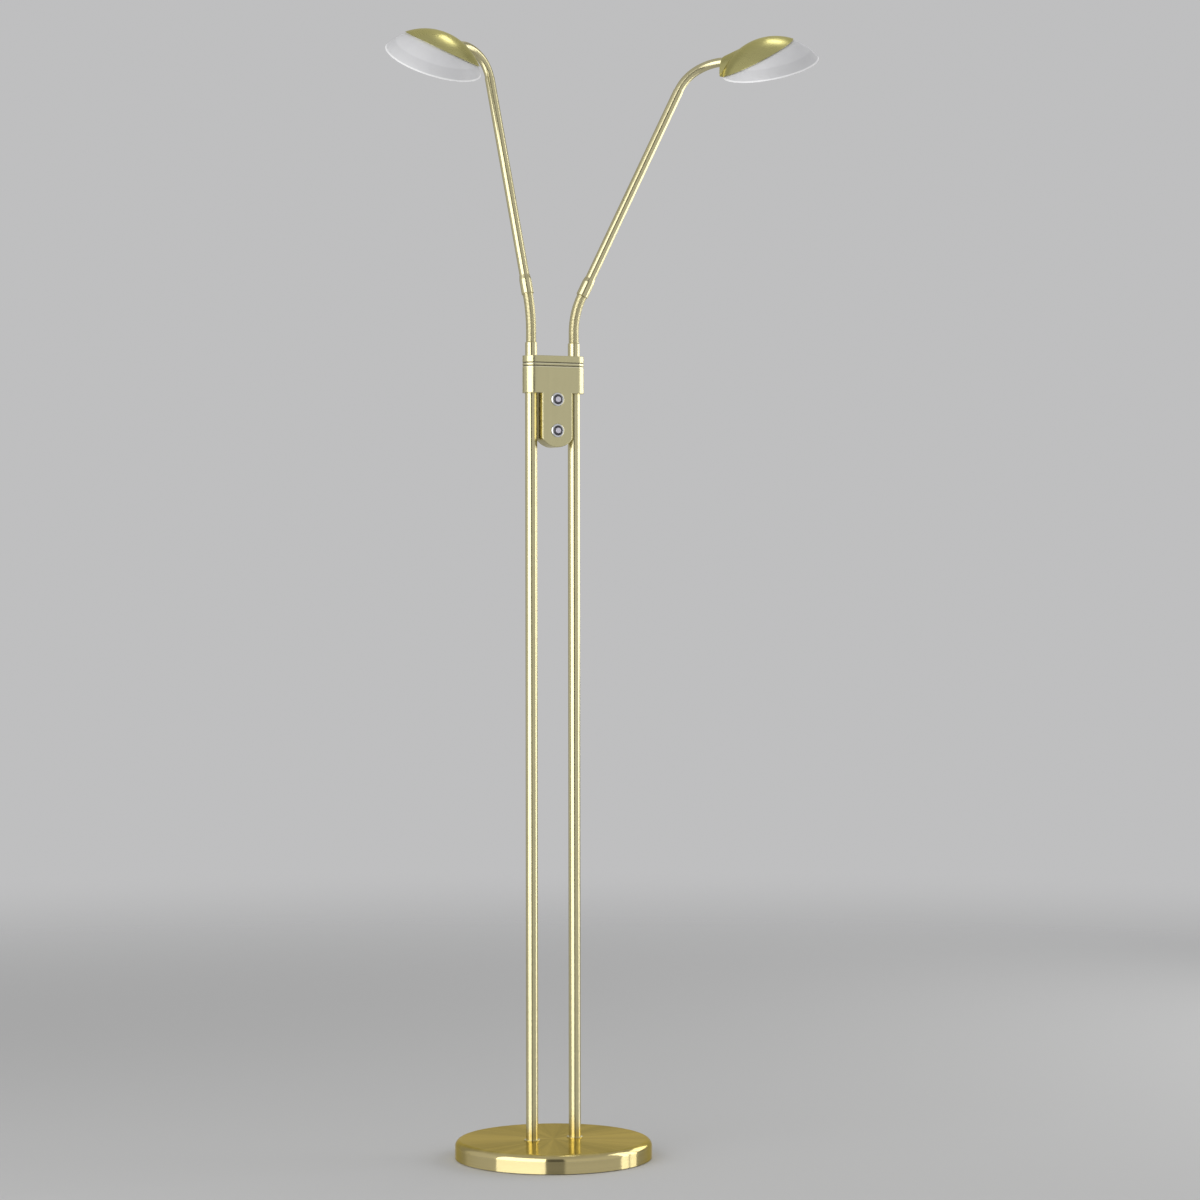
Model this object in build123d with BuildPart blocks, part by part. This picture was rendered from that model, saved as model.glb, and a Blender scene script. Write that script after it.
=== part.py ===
from build123d import *
import math
import os
from dataclasses import dataclass

# Twin-arm floor reading lamp.
# Millimetres. Origin on the floor under the middle of the base, +Z up, +X to the
# lamp's right-hand arm, -Y towards the reader, who sees the two push buttons.

# ---------------------------------------------------------------- base
BASE_RADIUS = 130.0
BASE_HEIGHT = 25.0
BASE_EDGE_RADIUS = 8.5
BASE_SHEET = 1.5
BASE_SKIRT_BOTTOM = 1.0
PAD_RADIUS = 126.0
PAD_THICKNESS = 2.0
WEIGHT_RADIUS = 128.0
WEIGHT_EDGE_CHAMFER = 7.0
COLLAR_RADIUS = 10.6
COLLAR_HEIGHT = 1.2
COLLAR_EDGE = 0.4

# ---------------------------------------------------------------- poles
POLE_X = 30.6
POLE_RADIUS = 8.0
POLE_WALL = 1.2
POLE_BOTTOM = 17.0
POLE_TOP = 1036.0
POLE_CLEARANCE = 0.12
SHELF_THICKNESS = 4.0
NUT_POCKET_RADIUS = 10.5
NUT_ACROSS_FLATS = 16.0
NUT_HEIGHT = 4.0
NIPPLE_RADIUS = 5.0
NIPPLE_BORE = 3.0
NIPPLE_BOTTOM = 8.0
NIPPLE_TOP = 40.0

# ---------------------------------------------------------------- supply
LEAD_RADIUS = 1.6
LEAD_HEIGHT = 4.0
LEAD_BEND = 5.0
LEAD_EXIT_Z = 1014.0
LEAD_END_GAP = 0.6
INLET_Y = 110.0
INLET_SIZE = 12.0
INLET_TALL = 11.0
INLET_CORNER = 1.5
INLET_HOLE_RADIUS = 4.0
INLET_BARREL_RADIUS = 3.8
INLET_BORE_RADIUS = 2.8
INLET_PIN_RADIUS = 1.0
INLET_BORE_FLOOR = 4.0
INLET_GAP = 0.4
INLET_ROOM = 14.0
INLET_Z = 10.0

# ---------------------------------------------------------------- housing
HOUSING_HALF_LENGTH = 42.5
HOUSING_FRONT = -17.0
HOUSING_BACK = 13.0
HOUSING_CORNER = 14.6
HOUSING_BOTTOM = 1008.5
HOUSING_TOP = 1057.5
HOUSING_WALL = 2.0
GROOVE_HEIGHTS = (1048.3, 1044.1)
GROOVE_WIDTH = 1.2
GROOVE_DEPTH = 0.8
TONGUE_HALF_WIDTH = 21.3
TONGUE_BOTTOM = 937.0
TONGUE_SIDE_BOTTOM = 948.0
TONGUE_BACK = 4.7
TONGUE_CORNER = 5.0
TONGUE_FRONT_EDGE = 1.2
CLAMP_HALF_LENGTH = 39.4
CLAMP_HALF_DEPTH = 10.0
CLAMP_CORNER = 9.8
CLAMP_BOTTOM = 1022.0
CLAMP_TOP = 1050.0
HOUSING_SCREW_X = 12.0
HOUSING_SCREW_Z = 1041.0
TONGUE_SCREW_Z = 946.0
SCREW_RADIUS = 1.5
SCREW_HEAD_RADIUS = 2.8
SCREW_HEAD_DEPTH = 1.2
SCREW_KEY_RADIUS = 1.1
SCREW_KEY_DEPTH = 0.9
SCREW_GAP = 0.1
BOSS_RADIUS = 3.6
BOARD_BOSS_RADIUS = 2.6

# ---------------------------------------------------------------- controls
BUTTON_HEIGHTS = {"upper": 1000.0, "lower": 959.0}
BUTTON_TRAVEL = 1.5
BEZEL_RADIUS = 9.0
BEZEL_BORE = 6.2
BEZEL_BARREL = 7.2
BEZEL_PROUD = 2.0
BEZEL_BACK = -11.0
BEZEL_OUTER_EDGE = 0.8
BEZEL_INNER_EDGE = 0.5
BUTTON_RADIUS = 6.12
BUTTON_FRONT = -20.2
BUTTON_EDGE = 0.9
BUTTON_FLANGE_RADIUS = 7.6
BUTTON_FLANGE_GAP = 0.1
BUTTON_FLANGE = 1.0
BUTTON_LENS_RADIUS = 4.0
BUTTON_LENS_SEAT = 1.6
BUTTON_LENS_HEIGHT = 2.2
BUTTON_LENS_TAPER = 12.0
BUTTON_DISH = 0.5
SWITCH_FRONT = -7.4
SWITCH_SIZE = 12.0
SWITCH_CORNER = 1.0
SWITCH_PLUNGER_RADIUS = 3.0
SWITCH_PLUNGER = 1.2
BOARD_FRONT = -2.0
BOARD_BACK = -0.4
BOARD_HALF_WIDTH = 17.0
BOARD_BOTTOM = 952.0
BOARD_TOP = 1018.0
BOARD_CORNER = 2.0
BOARD_SCREW_X = 11.0
BOARD_SCREW_Z = 979.5
BOARD_SCREW_RADIUS = 1.2
BOARD_SCREW_HEAD_RADIUS = 2.4
BOARD_SCREW_HEAD = 1.4
BOARD_SCREW_TIP = 1.5
CONNECTOR_SIZE = (8.0, 7.0)
CAPACITOR_X = 6.0
CAPACITOR_RADIUS = 3.0
CONNECTOR_HEIGHT = 5.0

# ---------------------------------------------------------------- arms
LOWER_FERRULE_RADIUS = 7.8
LOWER_FERRULE_TOP = 1075.8
SPIGOT_RADIUS = 6.0
SPIGOT_BOTTOM = 1040.0
FERRULE_BORE = 3.0
RIB_PEAK = 6.75
RIB_VALLEY = 5.95
RIBS_PER_HALF = 13
NECK_BORE = 3.6
NECK_PLUG = 8.0
NECK_PLUG_RADIUS = 5.6
LOWER_NECK_STRAIGHT = 14.0
LOWER_NECK_BENT = 50.0
RIB_PITCH = (LOWER_NECK_STRAIGHT + LOWER_NECK_BENT) / (2 * RIBS_PER_HALF)
UPPER_FERRULE_RADIUS = 8.0
UPPER_FERRULE_LENGTH = 26.0
UPPER_FERRULE_TAPER = 6.0
FERRULE_EDGE = 0.8
FERRULE_LIP = 0.4
TUBE_EDGE = 0.5
ARM_RADIUS = 6.6
ARM_WALL = 1.0
ARM_REACH = 305.7
UPPER_NECK_RADIUS = 6.1
UPPER_NECK_LENGTH = 75.0

# ---------------------------------------------------------------- lamp heads
# Heights in a head are above its rim plane, distances along it are from its axis,
# and the neck comes in from the negative side.
DOME_CENTRE = -38.1
SHADE_OUTER = 75.4
SHADE_INNER = 72.4
COVER_OUTER = 77.2
COVER_INNER = 75.8
COVER_TILT = 17.8
COVER_EDGE_DISTANCE = 55.2
ENTRY_HEIGHT = 12.0
ENTRY_REACH = -64.0
SADDLE_FRONT = -12.0
SADDLE_REAR_HALF_WIDTH = 24.0
SADDLE_REAR_TOP = 19.5
SADDLE_FRONT_HALF_WIDTH = 62.0
SADDLE_FRONT_TOP = 37.4
HEAD_LOW = -3.0
END_WALL_REACH = 4.0
STUD_RADIUS = 2.0
STUD_LENGTH = 12.0
STUD_GAP = 0.1
HUB_RADIUS = 10.0
HUB_GAP = 0.5
HUB_SHOULDER = 16.0
HUB_SHOULDER_DEPTH = 5.0
SHADE_LIP = 2.6
SHADE_LIP_OVERLAP = 0.5
CARRIER_RADIUS = 50.0
CARRIER_BOTTOM = 5.0
CARRIER_TOP = 8.0
FIN_MIDDLE = 22.0
FIN_LENGTH = 28.0
FIN_THICKNESS = 1.6
FIN_HEIGHT = 8.0
FIN_COUNT = 9
BOARD_RADIUS = 46.0
BOARD_HOLE_RADIUS = 4.0
LED_BOARD_BOTTOM = 3.4
LED_HEIGHT = 0.8
LED_RINGS = ((20.0, 8), (33.0, 14))
LED_SIZE = (3.5, 2.8)
DIFFUSER_RADIUS = 59.6
DIFFUSER_BOTTOM = 0.8
DIFFUSER_THICKNESS = 1.4
HEAD_SCREW_RING = 41.0
HEAD_SCREW_COUNT = 3
HEAD_SCREW_HEAD = 1.0
PIVOT_RADIUS = 5.0
PIVOT_FLANGE_RADIUS = 6.4
PIVOT_FLANGE = 2.0
PIVOT_EDGE = 0.6
PIVOT_GAP = 0.4
PIVOT_STUB = 3.5
PIVOT_BORE = 1.8
PIVOT_CLEARANCE = 0.06
PIVOT_STUB_GAP = 0.3
SOCKET_RADIUS = 6.9
SOCKET_ROOM = 1.0
SOCKET_OUTER = -56.0
SOCKET_INNER = -40.0
CLIP_GROOVE_RADIUS = 4.2
CLIP_RADIUS = 6.6
CLIP_THICKNESS = 1.0
CLIP_SLOT = 2.0
PIVOT_END = -37.0


@dataclass
class ArmPose:
    """How one arm stands at rest, in degrees; outwards is away from the lamp's middle."""

    name: str
    outward: float
    lean_out: float
    lean_forward: float
    crook_tilt: float
    crook_forward: float
    head_tilt: float
    head_forward: float
    head_roll: float


ARM_POSES = (
    ArmPose("left", -1.0, 4.5, -14.4, 57.9, 17.5, 106.1, 39.0, 27.7),
    ArmPose("right", 1.0, 24.9, 6.2, 58.6, 22.0, 90.3, 50.3, 26.3),
)


@dataclass
class Bend:
    """A centre line: a straight lead, then a circular bend from one direction to another."""

    root: Vector
    first: Vector
    last: Vector
    lead: float
    length: float

    def station(self, travelled):
        """Plane square to the line at a distance from its root, its X axis kept steady."""
        steady = self.first.cross(self.last).normalized()
        turn = self.first.get_angle(self.last)
        radius = self.length / math.radians(turn)
        on_bend = min(max(travelled - self.lead, 0.0), self.length)
        angle = turn * on_bend / self.length
        inward = steady.cross(self.first)
        swept = self.first * math.sin(math.radians(angle))
        swept += inward * (1.0 - math.cos(math.radians(angle)))
        along = self.first.rotate(Axis((0, 0, 0), steady), angle)
        beyond = travelled - self.lead - on_bend
        point = self.root + self.first * min(travelled, self.lead)
        if travelled > self.lead:
            point = self.root + self.first * self.lead + swept * radius + along * beyond
        return Plane(origin=point, x_dir=steady, z_dir=along)


def lean_direction(pose):
    """Direction of an arm tube from its two leans."""
    out = pose.outward * math.tan(math.radians(pose.lean_out))
    forward = math.tan(math.radians(pose.lean_forward))
    return Vector(out, -forward, 1.0).normalized()


def tilt_direction(pose, tilt, forward):
    """Direction tilted from upright, and turned forward from straight out."""
    flat = math.sin(math.radians(tilt))
    out = pose.outward * flat * math.cos(math.radians(forward))
    front = -flat * math.sin(math.radians(forward))
    return Vector(out, front, math.cos(math.radians(tilt)))


def along_plane(origin, direction, side=Vector(0, 1, 0)):
    """Plane whose Z axis runs in a direction, for turned pieces on an arm."""
    return Plane(origin=origin, x_dir=side.cross(direction), z_dir=direction)


def side_of(plane):
    """Plane that holds another plane's X and Z axes, for profiles to revolve."""
    return Plane(origin=plane.origin, x_dir=plane.x_dir, z_dir=plane.y_dir * -1)


def turned(name, plane, outline):
    """Piece turned about a plane's Z axis from (radius, height) corners."""
    with BuildPart() as piece:
        with BuildSketch(side_of(plane)):
            with BuildLine():
                Polyline(*outline, close=True)
            make_face()
        revolve(axis=Axis(plane.origin, plane.z_dir))
    piece.part.label = name
    return piece.part


def save(part):
    """Write a labelled piece to its own file."""
    export_step(part, f"parts/{part.label}.step")


os.makedirs("parts", exist_ok=True)

# ================================================================ base

with BuildPart() as base_pad:
    with BuildSketch():
        Circle(PAD_RADIUS)
    extrude(amount=PAD_THICKNESS)
base_pad.part.label = "base_pad"
save(base_pad.part)

INSIDE_RADIUS = BASE_RADIUS - BASE_SHEET
INSIDE_TOP = BASE_HEIGHT - BASE_SHEET
INSIDE_EDGE = BASE_EDGE_RADIUS - BASE_SHEET
POLE_SPOTS = ((-POLE_X, 0), (POLE_X, 0))

with BuildPart() as base_cover:
    with BuildSketch(Plane.XZ):
        with BuildLine():
            Line((0, INSIDE_TOP), (0, BASE_HEIGHT))
            Line((0, BASE_HEIGHT), (BASE_RADIUS - BASE_EDGE_RADIUS, BASE_HEIGHT))
            RadiusArc(
                (BASE_RADIUS - BASE_EDGE_RADIUS, BASE_HEIGHT),
                (BASE_RADIUS, BASE_HEIGHT - BASE_EDGE_RADIUS),
                BASE_EDGE_RADIUS,
            )
            Line((BASE_RADIUS, BASE_HEIGHT - BASE_EDGE_RADIUS), (BASE_RADIUS, BASE_SKIRT_BOTTOM))
            Line((BASE_RADIUS, BASE_SKIRT_BOTTOM), (INSIDE_RADIUS, BASE_SKIRT_BOTTOM))
            Line((INSIDE_RADIUS, BASE_SKIRT_BOTTOM), (INSIDE_RADIUS, INSIDE_TOP - INSIDE_EDGE))
            RadiusArc(
                (INSIDE_RADIUS, INSIDE_TOP - INSIDE_EDGE),
                (INSIDE_RADIUS - INSIDE_EDGE, INSIDE_TOP),
                -INSIDE_EDGE,
            )
            Line((INSIDE_RADIUS - INSIDE_EDGE, INSIDE_TOP), (0, INSIDE_TOP))
        make_face()
    revolve(axis=Axis.Z)
    with Locations((-POLE_X, 0, BASE_HEIGHT), (POLE_X, 0, BASE_HEIGHT)):
        Hole(POLE_RADIUS + POLE_CLEARANCE, depth=2 * BASE_SHEET)
    with BuildSketch(Plane.XZ.offset(-BASE_RADIUS - 1)):
        with Locations((0, INLET_Z)):
            Circle(INLET_HOLE_RADIUS)
    extrude(amount=2 * BASE_SHEET + 1, mode=Mode.SUBTRACT)
base_cover.part.label = "base_cover"
save(base_cover.part)

SHELF_BOTTOM = POLE_BOTTOM - SHELF_THICKNESS
LEAD_RUN = math.hypot(POLE_X, INLET_Y)
LEAD_HEADING = math.degrees(math.atan2(INLET_Y, POLE_X))

with BuildPart() as base_weight:
    with BuildSketch(Plane.XY.offset(PAD_THICKNESS)):
        Circle(WEIGHT_RADIUS)
    extrude(amount=INSIDE_TOP - PAD_THICKNESS)
    chamfer(base_weight.edges().group_by(Axis.Z)[-1], WEIGHT_EDGE_CHAMFER)
    with BuildSketch(Plane.XY.offset(POLE_BOTTOM)):
        with Locations(*POLE_SPOTS):
            Circle(POLE_RADIUS + POLE_CLEARANCE)
    extrude(amount=INSIDE_TOP - POLE_BOTTOM, mode=Mode.SUBTRACT)
    with BuildSketch(Plane.XY.offset(PAD_THICKNESS)):
        with Locations(*POLE_SPOTS):
            Circle(NIPPLE_RADIUS + POLE_CLEARANCE)
    extrude(amount=POLE_BOTTOM - PAD_THICKNESS, mode=Mode.SUBTRACT)
    with BuildSketch(Plane.XY.offset(PAD_THICKNESS)):
        with Locations(*POLE_SPOTS):
            Circle(NUT_POCKET_RADIUS)
    extrude(amount=SHELF_BOTTOM - PAD_THICKNESS, mode=Mode.SUBTRACT)
    with BuildSketch(Plane.XY.offset(PAD_THICKNESS)):
        with Locations(Location((-POLE_X / 2, INLET_Y / 2), LEAD_HEADING)):
            Rectangle(LEAD_RUN, 3 * LEAD_RADIUS)
        with Locations((0, WEIGHT_RADIUS - (WEIGHT_RADIUS - INLET_Y) / 2)):
            Rectangle(INLET_ROOM, WEIGHT_RADIUS - INLET_Y + INLET_SIZE)
    extrude(amount=LEAD_HEIGHT, mode=Mode.SUBTRACT)
    with BuildSketch(Plane.XY.offset(PAD_THICKNESS)):
        with Locations((0, WEIGHT_RADIUS)):
            Rectangle(INLET_ROOM, 2 * (WEIGHT_RADIUS - INLET_Y))
    extrude(amount=INLET_Z + INLET_ROOM / 2 - PAD_THICKNESS, mode=Mode.SUBTRACT)
base_weight.part.label = "base_weight"
save(base_weight.part)

with BuildPart() as power_inlet:
    with BuildSketch(Plane.XZ.offset(-INLET_Y)):
        with Locations((0, INLET_Z)):
            RectangleRounded(INLET_SIZE, INLET_TALL, INLET_CORNER)
    extrude(amount=INSIDE_RADIUS - INLET_Y - INLET_GAP, dir=(0, 1, 0))
    with BuildSketch(Plane.XZ.offset(-INLET_Y)):
        with Locations((0, INLET_Z)):
            Circle(INLET_BARREL_RADIUS)
    extrude(amount=BASE_RADIUS - INLET_Y - INLET_GAP, dir=(0, 1, 0))
    with BuildSketch(Plane.XZ.offset(-INLET_Y - INLET_BORE_FLOOR)):
        with Locations((0, INLET_Z)):
            Circle(INLET_BORE_RADIUS)
            Circle(INLET_PIN_RADIUS, mode=Mode.SUBTRACT)
    extrude(amount=BASE_RADIUS - INLET_Y, dir=(0, 1, 0), mode=Mode.SUBTRACT)
power_inlet.part.label = "power_inlet"
save(power_inlet.part)

# ================================================================ poles

for side, x in (("left", -POLE_X), ("right", POLE_X)):
    with BuildPart() as pole:
        with BuildSketch(Plane.XY.offset(POLE_BOTTOM)):
            with Locations((x, 0)):
                Circle(POLE_RADIUS)
                Circle(POLE_RADIUS - POLE_WALL, mode=Mode.SUBTRACT)
        extrude(amount=POLE_TOP - POLE_BOTTOM)
        if side == "left":
            with BuildSketch(Plane.YZ.offset(x)):
                with Locations((0, LEAD_EXIT_Z)):
                    Circle(2 * LEAD_RADIUS)
            extrude(amount=2 * POLE_RADIUS, mode=Mode.SUBTRACT)
    pole.part.label = f"pole_{side}"
    save(pole.part)

with BuildPart() as pole_plugs:
    with BuildSketch(Plane.XY.offset(POLE_BOTTOM)):
        with Locations(*POLE_SPOTS):
            Circle(POLE_RADIUS - POLE_WALL)
            Circle(NIPPLE_RADIUS, mode=Mode.SUBTRACT)
    extrude(amount=NIPPLE_TOP - POLE_BOTTOM)
pole_plugs.part.label = "pole_plugs"
save(pole_plugs.part)

with BuildPart() as pole_nipples:
    with BuildSketch(Plane.XY.offset(NIPPLE_BOTTOM)):
        with Locations(*POLE_SPOTS):
            Circle(NIPPLE_RADIUS)
            Circle(NIPPLE_BORE, mode=Mode.SUBTRACT)
    extrude(amount=NIPPLE_TOP - NIPPLE_BOTTOM)
pole_nipples.part.label = "pole_nipples"
save(pole_nipples.part)

with BuildPart() as pole_nuts:
    with BuildSketch(Plane.XY.offset(SHELF_BOTTOM - NUT_HEIGHT)):
        with Locations(*POLE_SPOTS):
            RegularPolygon(NUT_ACROSS_FLATS / 2, 6, major_radius=False)
            Circle(NIPPLE_RADIUS, mode=Mode.SUBTRACT)
    extrude(amount=NUT_HEIGHT)
pole_nuts.part.label = "pole_nuts"
save(pole_nuts.part)

with BuildPart() as pole_collars:
    with BuildSketch(Plane.XY.offset(BASE_HEIGHT)):
        with Locations(*POLE_SPOTS):
            Circle(COLLAR_RADIUS)
            Circle(POLE_RADIUS + POLE_CLEARANCE, mode=Mode.SUBTRACT)
    extrude(amount=COLLAR_HEIGHT)
    top_edges = pole_collars.edges().group_by(Axis.Z)[-1]
    chamfer(top_edges.filter_by(lambda edge: edge.radius > POLE_RADIUS + 1), COLLAR_EDGE)
pole_collars.part.label = "pole_collars"
save(pole_collars.part)

with BuildPart() as supply_lead:
    with BuildLine() as lead_route:
        FilletPolyline(
            (0, INLET_Y - LEAD_END_GAP, LEAD_HEIGHT),
            (-POLE_X, 0, LEAD_HEIGHT),
            (-POLE_X, 0, LEAD_EXIT_Z),
            (-BOARD_HALF_WIDTH - 3, 0, LEAD_EXIT_Z),
            radius=LEAD_BEND,
        )
    with BuildSketch(Plane(origin=lead_route.line @ 0, z_dir=lead_route.line % 0)):
        Circle(LEAD_RADIUS)
    sweep()
supply_lead.part.label = "supply_lead"
save(supply_lead.part)

# ================================================================ housing between the poles


def housing_block(inset):
    """The T-shaped housing, drawn in by a wall thickness for its inside."""
    with BuildPart() as block:
        with BuildSketch(Plane.XY.offset(HOUSING_BOTTOM + inset)):
            with Locations((0, (HOUSING_FRONT + HOUSING_BACK) / 2)):
                RectangleRounded(
                    2 * (HOUSING_HALF_LENGTH - inset),
                    HOUSING_BACK - HOUSING_FRONT - 2 * inset,
                    HOUSING_CORNER - inset,
                )
        extrude(amount=HOUSING_TOP - HOUSING_BOTTOM - 2 * inset)
        add(tongue_block(inset))
    return block.part


def tongue_block(inset):
    """The tongue that holds the buttons, with a softened edge round its front."""
    half = TONGUE_HALF_WIDTH - inset
    low = TONGUE_BOTTOM + inset
    shoulder = TONGUE_SIDE_BOTTOM + inset / 2
    high = HOUSING_BOTTOM + inset + 1
    with BuildPart() as tongue:
        with BuildSketch(Plane.XZ.offset(-HOUSING_FRONT - inset)):
            with BuildLine():
                ThreePointArc((-half, shoulder), (0, low), (half, shoulder))
                Line((half, shoulder), (half, high))
                Line((half, high), (-half, high))
                Line((-half, high), (-half, shoulder))
            make_face()
            fillet(vertices().group_by(Axis.Y)[0], TONGUE_CORNER - inset / 2)
        extrude(amount=HOUSING_FRONT + 2 * inset - TONGUE_BACK)
        outline = tongue.edges().group_by(Axis.Y)[0]
        top_edge = outline.sort_by(Axis.Z)[-1]
        fillet(outline - [top_edge], TONGUE_FRONT_EDGE - inset / 4)
    return tongue.part


def post(x, z, radius, start, end):
    """Round post along Y, for bosses, screws and their holes."""
    with BuildPart() as piece:
        with BuildSketch(Plane.XZ.offset(-start)):
            with Locations((x, z)):
                Circle(radius)
        extrude(amount=end - start, dir=(0, 1, 0))
    return piece.part


housing_outer = housing_block(0)
housing_inner = housing_block(HOUSING_WALL)
HOUSING_SCREWS = (
    (-HOUSING_SCREW_X, HOUSING_SCREW_Z, HOUSING_BACK),
    (HOUSING_SCREW_X, HOUSING_SCREW_Z, HOUSING_BACK),
    (0, TONGUE_SCREW_Z, TONGUE_BACK),
)
SCREW_TIP = HOUSING_FRONT + 2 * HOUSING_WALL

with BuildPart() as housing_shell:
    add(housing_outer)
    add(housing_inner, mode=Mode.SUBTRACT)
    for height in GROOVE_HEIGHTS:
        with BuildSketch(Plane.XY.offset(height - GROOVE_WIDTH / 2)):
            with Locations((0, (HOUSING_FRONT + HOUSING_BACK) / 2)):
                RectangleRounded(
                    2 * HOUSING_HALF_LENGTH + 2,
                    HOUSING_BACK - HOUSING_FRONT + 2,
                    HOUSING_CORNER + 1,
                )
                RectangleRounded(
                    2 * (HOUSING_HALF_LENGTH - GROOVE_DEPTH),
                    HOUSING_BACK - HOUSING_FRONT - 2 * GROOVE_DEPTH,
                    HOUSING_CORNER - GROOVE_DEPTH,
                    mode=Mode.SUBTRACT,
                )
        extrude(amount=GROOVE_WIDTH, mode=Mode.SUBTRACT)
    with BuildSketch(Plane.XY.offset(HOUSING_BOTTOM - 1)):
        with Locations(*POLE_SPOTS):
            Circle(POLE_RADIUS + POLE_CLEARANCE)
    extrude(amount=HOUSING_WALL + 2, mode=Mode.SUBTRACT)
    with BuildSketch(Plane.XY.offset(HOUSING_TOP + 1)):
        with Locations(*POLE_SPOTS):
            Circle(SPIGOT_RADIUS + POLE_CLEARANCE)
    extrude(amount=-HOUSING_WALL - 2, mode=Mode.SUBTRACT)

with BuildPart() as housing_front:
    add(housing_shell.part)
    split(bisect_by=Plane.XZ, keep=Keep.TOP)
    for x, z, _ in HOUSING_SCREWS:
        boss_end = 0 if x == 0 else -CLAMP_HALF_DEPTH
        add(post(x, z, BOSS_RADIUS, HOUSING_FRONT + 1, boss_end))
        add(post(x, z, SCREW_RADIUS + SCREW_GAP, SCREW_TIP - 1, 0), mode=Mode.SUBTRACT)
    for height in BUTTON_HEIGHTS.values():
        hole_end = HOUSING_FRONT + 2 * HOUSING_WALL
        hole = post(0, height, BEZEL_BARREL + SCREW_GAP, HOUSING_FRONT - 1, hole_end)
        add(hole, mode=Mode.SUBTRACT)
housing_front.part.label = "housing_front"
save(housing_front.part)

with BuildPart() as housing_back:
    add(housing_shell.part)
    split(bisect_by=Plane.XZ, keep=Keep.BOTTOM)
    for x in (-BOARD_SCREW_X, BOARD_SCREW_X):
        add(post(x, BOARD_SCREW_Z, BOARD_BOSS_RADIUS, BOARD_BACK, TONGUE_BACK - 1))
        pilot = post(x, BOARD_SCREW_Z, SCREW_RADIUS, BOARD_BACK, BOARD_SCREW_TIP + 0.5)
        add(pilot, mode=Mode.SUBTRACT)
    for x, z, back in HOUSING_SCREWS:
        add(post(x, z, SCREW_RADIUS + SCREW_GAP, -1, back), mode=Mode.SUBTRACT)
        recess = post(x, z, SCREW_HEAD_RADIUS + SCREW_GAP, back - SCREW_HEAD_DEPTH, back + 1)
        add(recess, mode=Mode.SUBTRACT)
housing_back.part.label = "housing_back"
save(housing_back.part)

with BuildPart() as housing_screws:
    for x, z, back in HOUSING_SCREWS:
        add(post(x, z, SCREW_RADIUS, SCREW_TIP, back))
        add(post(x, z, SCREW_HEAD_RADIUS, back - SCREW_HEAD_DEPTH, back))
        with BuildSketch(Plane.XZ.offset(-back)):
            with Locations((x, z)):
                RegularPolygon(SCREW_KEY_RADIUS, 6)
        extrude(amount=SCREW_KEY_DEPTH, mode=Mode.SUBTRACT)
housing_screws.part.label = "housing_screws"
save(housing_screws.part)

with BuildPart() as clamp_block:
    with BuildSketch(Plane.XY.offset(CLAMP_BOTTOM)):
        RectangleRounded(2 * CLAMP_HALF_LENGTH, 2 * CLAMP_HALF_DEPTH, CLAMP_CORNER)
        with Locations(*POLE_SPOTS):
            Circle(LEAD_RADIUS * 2, mode=Mode.SUBTRACT)
    extrude(amount=CLAMP_TOP - CLAMP_BOTTOM)
    with BuildSketch(Plane.XY.offset(CLAMP_BOTTOM)):
        with Locations(*POLE_SPOTS):
            Circle(POLE_RADIUS + POLE_CLEARANCE)
    extrude(amount=POLE_TOP - CLAMP_BOTTOM, mode=Mode.SUBTRACT)
    with BuildSketch(Plane.XY.offset(SPIGOT_BOTTOM)):
        with Locations(*POLE_SPOTS):
            Circle(SPIGOT_RADIUS + POLE_CLEARANCE)
    extrude(amount=CLAMP_TOP - SPIGOT_BOTTOM, mode=Mode.SUBTRACT)
    for x in (-HOUSING_SCREW_X, HOUSING_SCREW_X):
        passage_radius = SCREW_RADIUS + 2 * SCREW_GAP
        passage = post(x, HOUSING_SCREW_Z, passage_radius, HOUSING_FRONT, HOUSING_BACK)
        add(passage, mode=Mode.SUBTRACT)
clamp_block.part.label = "clamp_block"
save(clamp_block.part)

# ================================================================ controls

with BuildPart() as control_board:
    with BuildSketch(Plane.XZ.offset(-BOARD_FRONT)):
        with Locations((0, (BOARD_BOTTOM + BOARD_TOP) / 2)):
            RectangleRounded(2 * BOARD_HALF_WIDTH, BOARD_TOP - BOARD_BOTTOM, BOARD_CORNER)
        with Locations((-BOARD_SCREW_X, BOARD_SCREW_Z), (BOARD_SCREW_X, BOARD_SCREW_Z)):
            Circle(BOARD_SCREW_RADIUS + SCREW_GAP, mode=Mode.SUBTRACT)
    extrude(amount=BOARD_FRONT - BOARD_BACK)
    with BuildSketch(Plane.XZ.offset(-BOARD_BACK)):
        with Locations((-BOARD_HALF_WIDTH + 1, LEAD_EXIT_Z)):
            Rectangle(*CONNECTOR_SIZE)
        with Locations((CAPACITOR_X, LEAD_EXIT_Z)):
            Circle(CAPACITOR_RADIUS)
    extrude(amount=-CONNECTOR_HEIGHT)
control_board.part.label = "control_board"
save(control_board.part)

with BuildPart() as board_screws:
    for x in (-BOARD_SCREW_X, BOARD_SCREW_X):
        head_top = BOARD_FRONT - BOARD_SCREW_HEAD
        add(post(x, BOARD_SCREW_Z, BOARD_SCREW_RADIUS, BOARD_FRONT, BOARD_SCREW_TIP))
        add(post(x, BOARD_SCREW_Z, BOARD_SCREW_HEAD_RADIUS, head_top, BOARD_FRONT))
board_screws.part.label = "board_screws"
save(board_screws.part)

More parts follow.
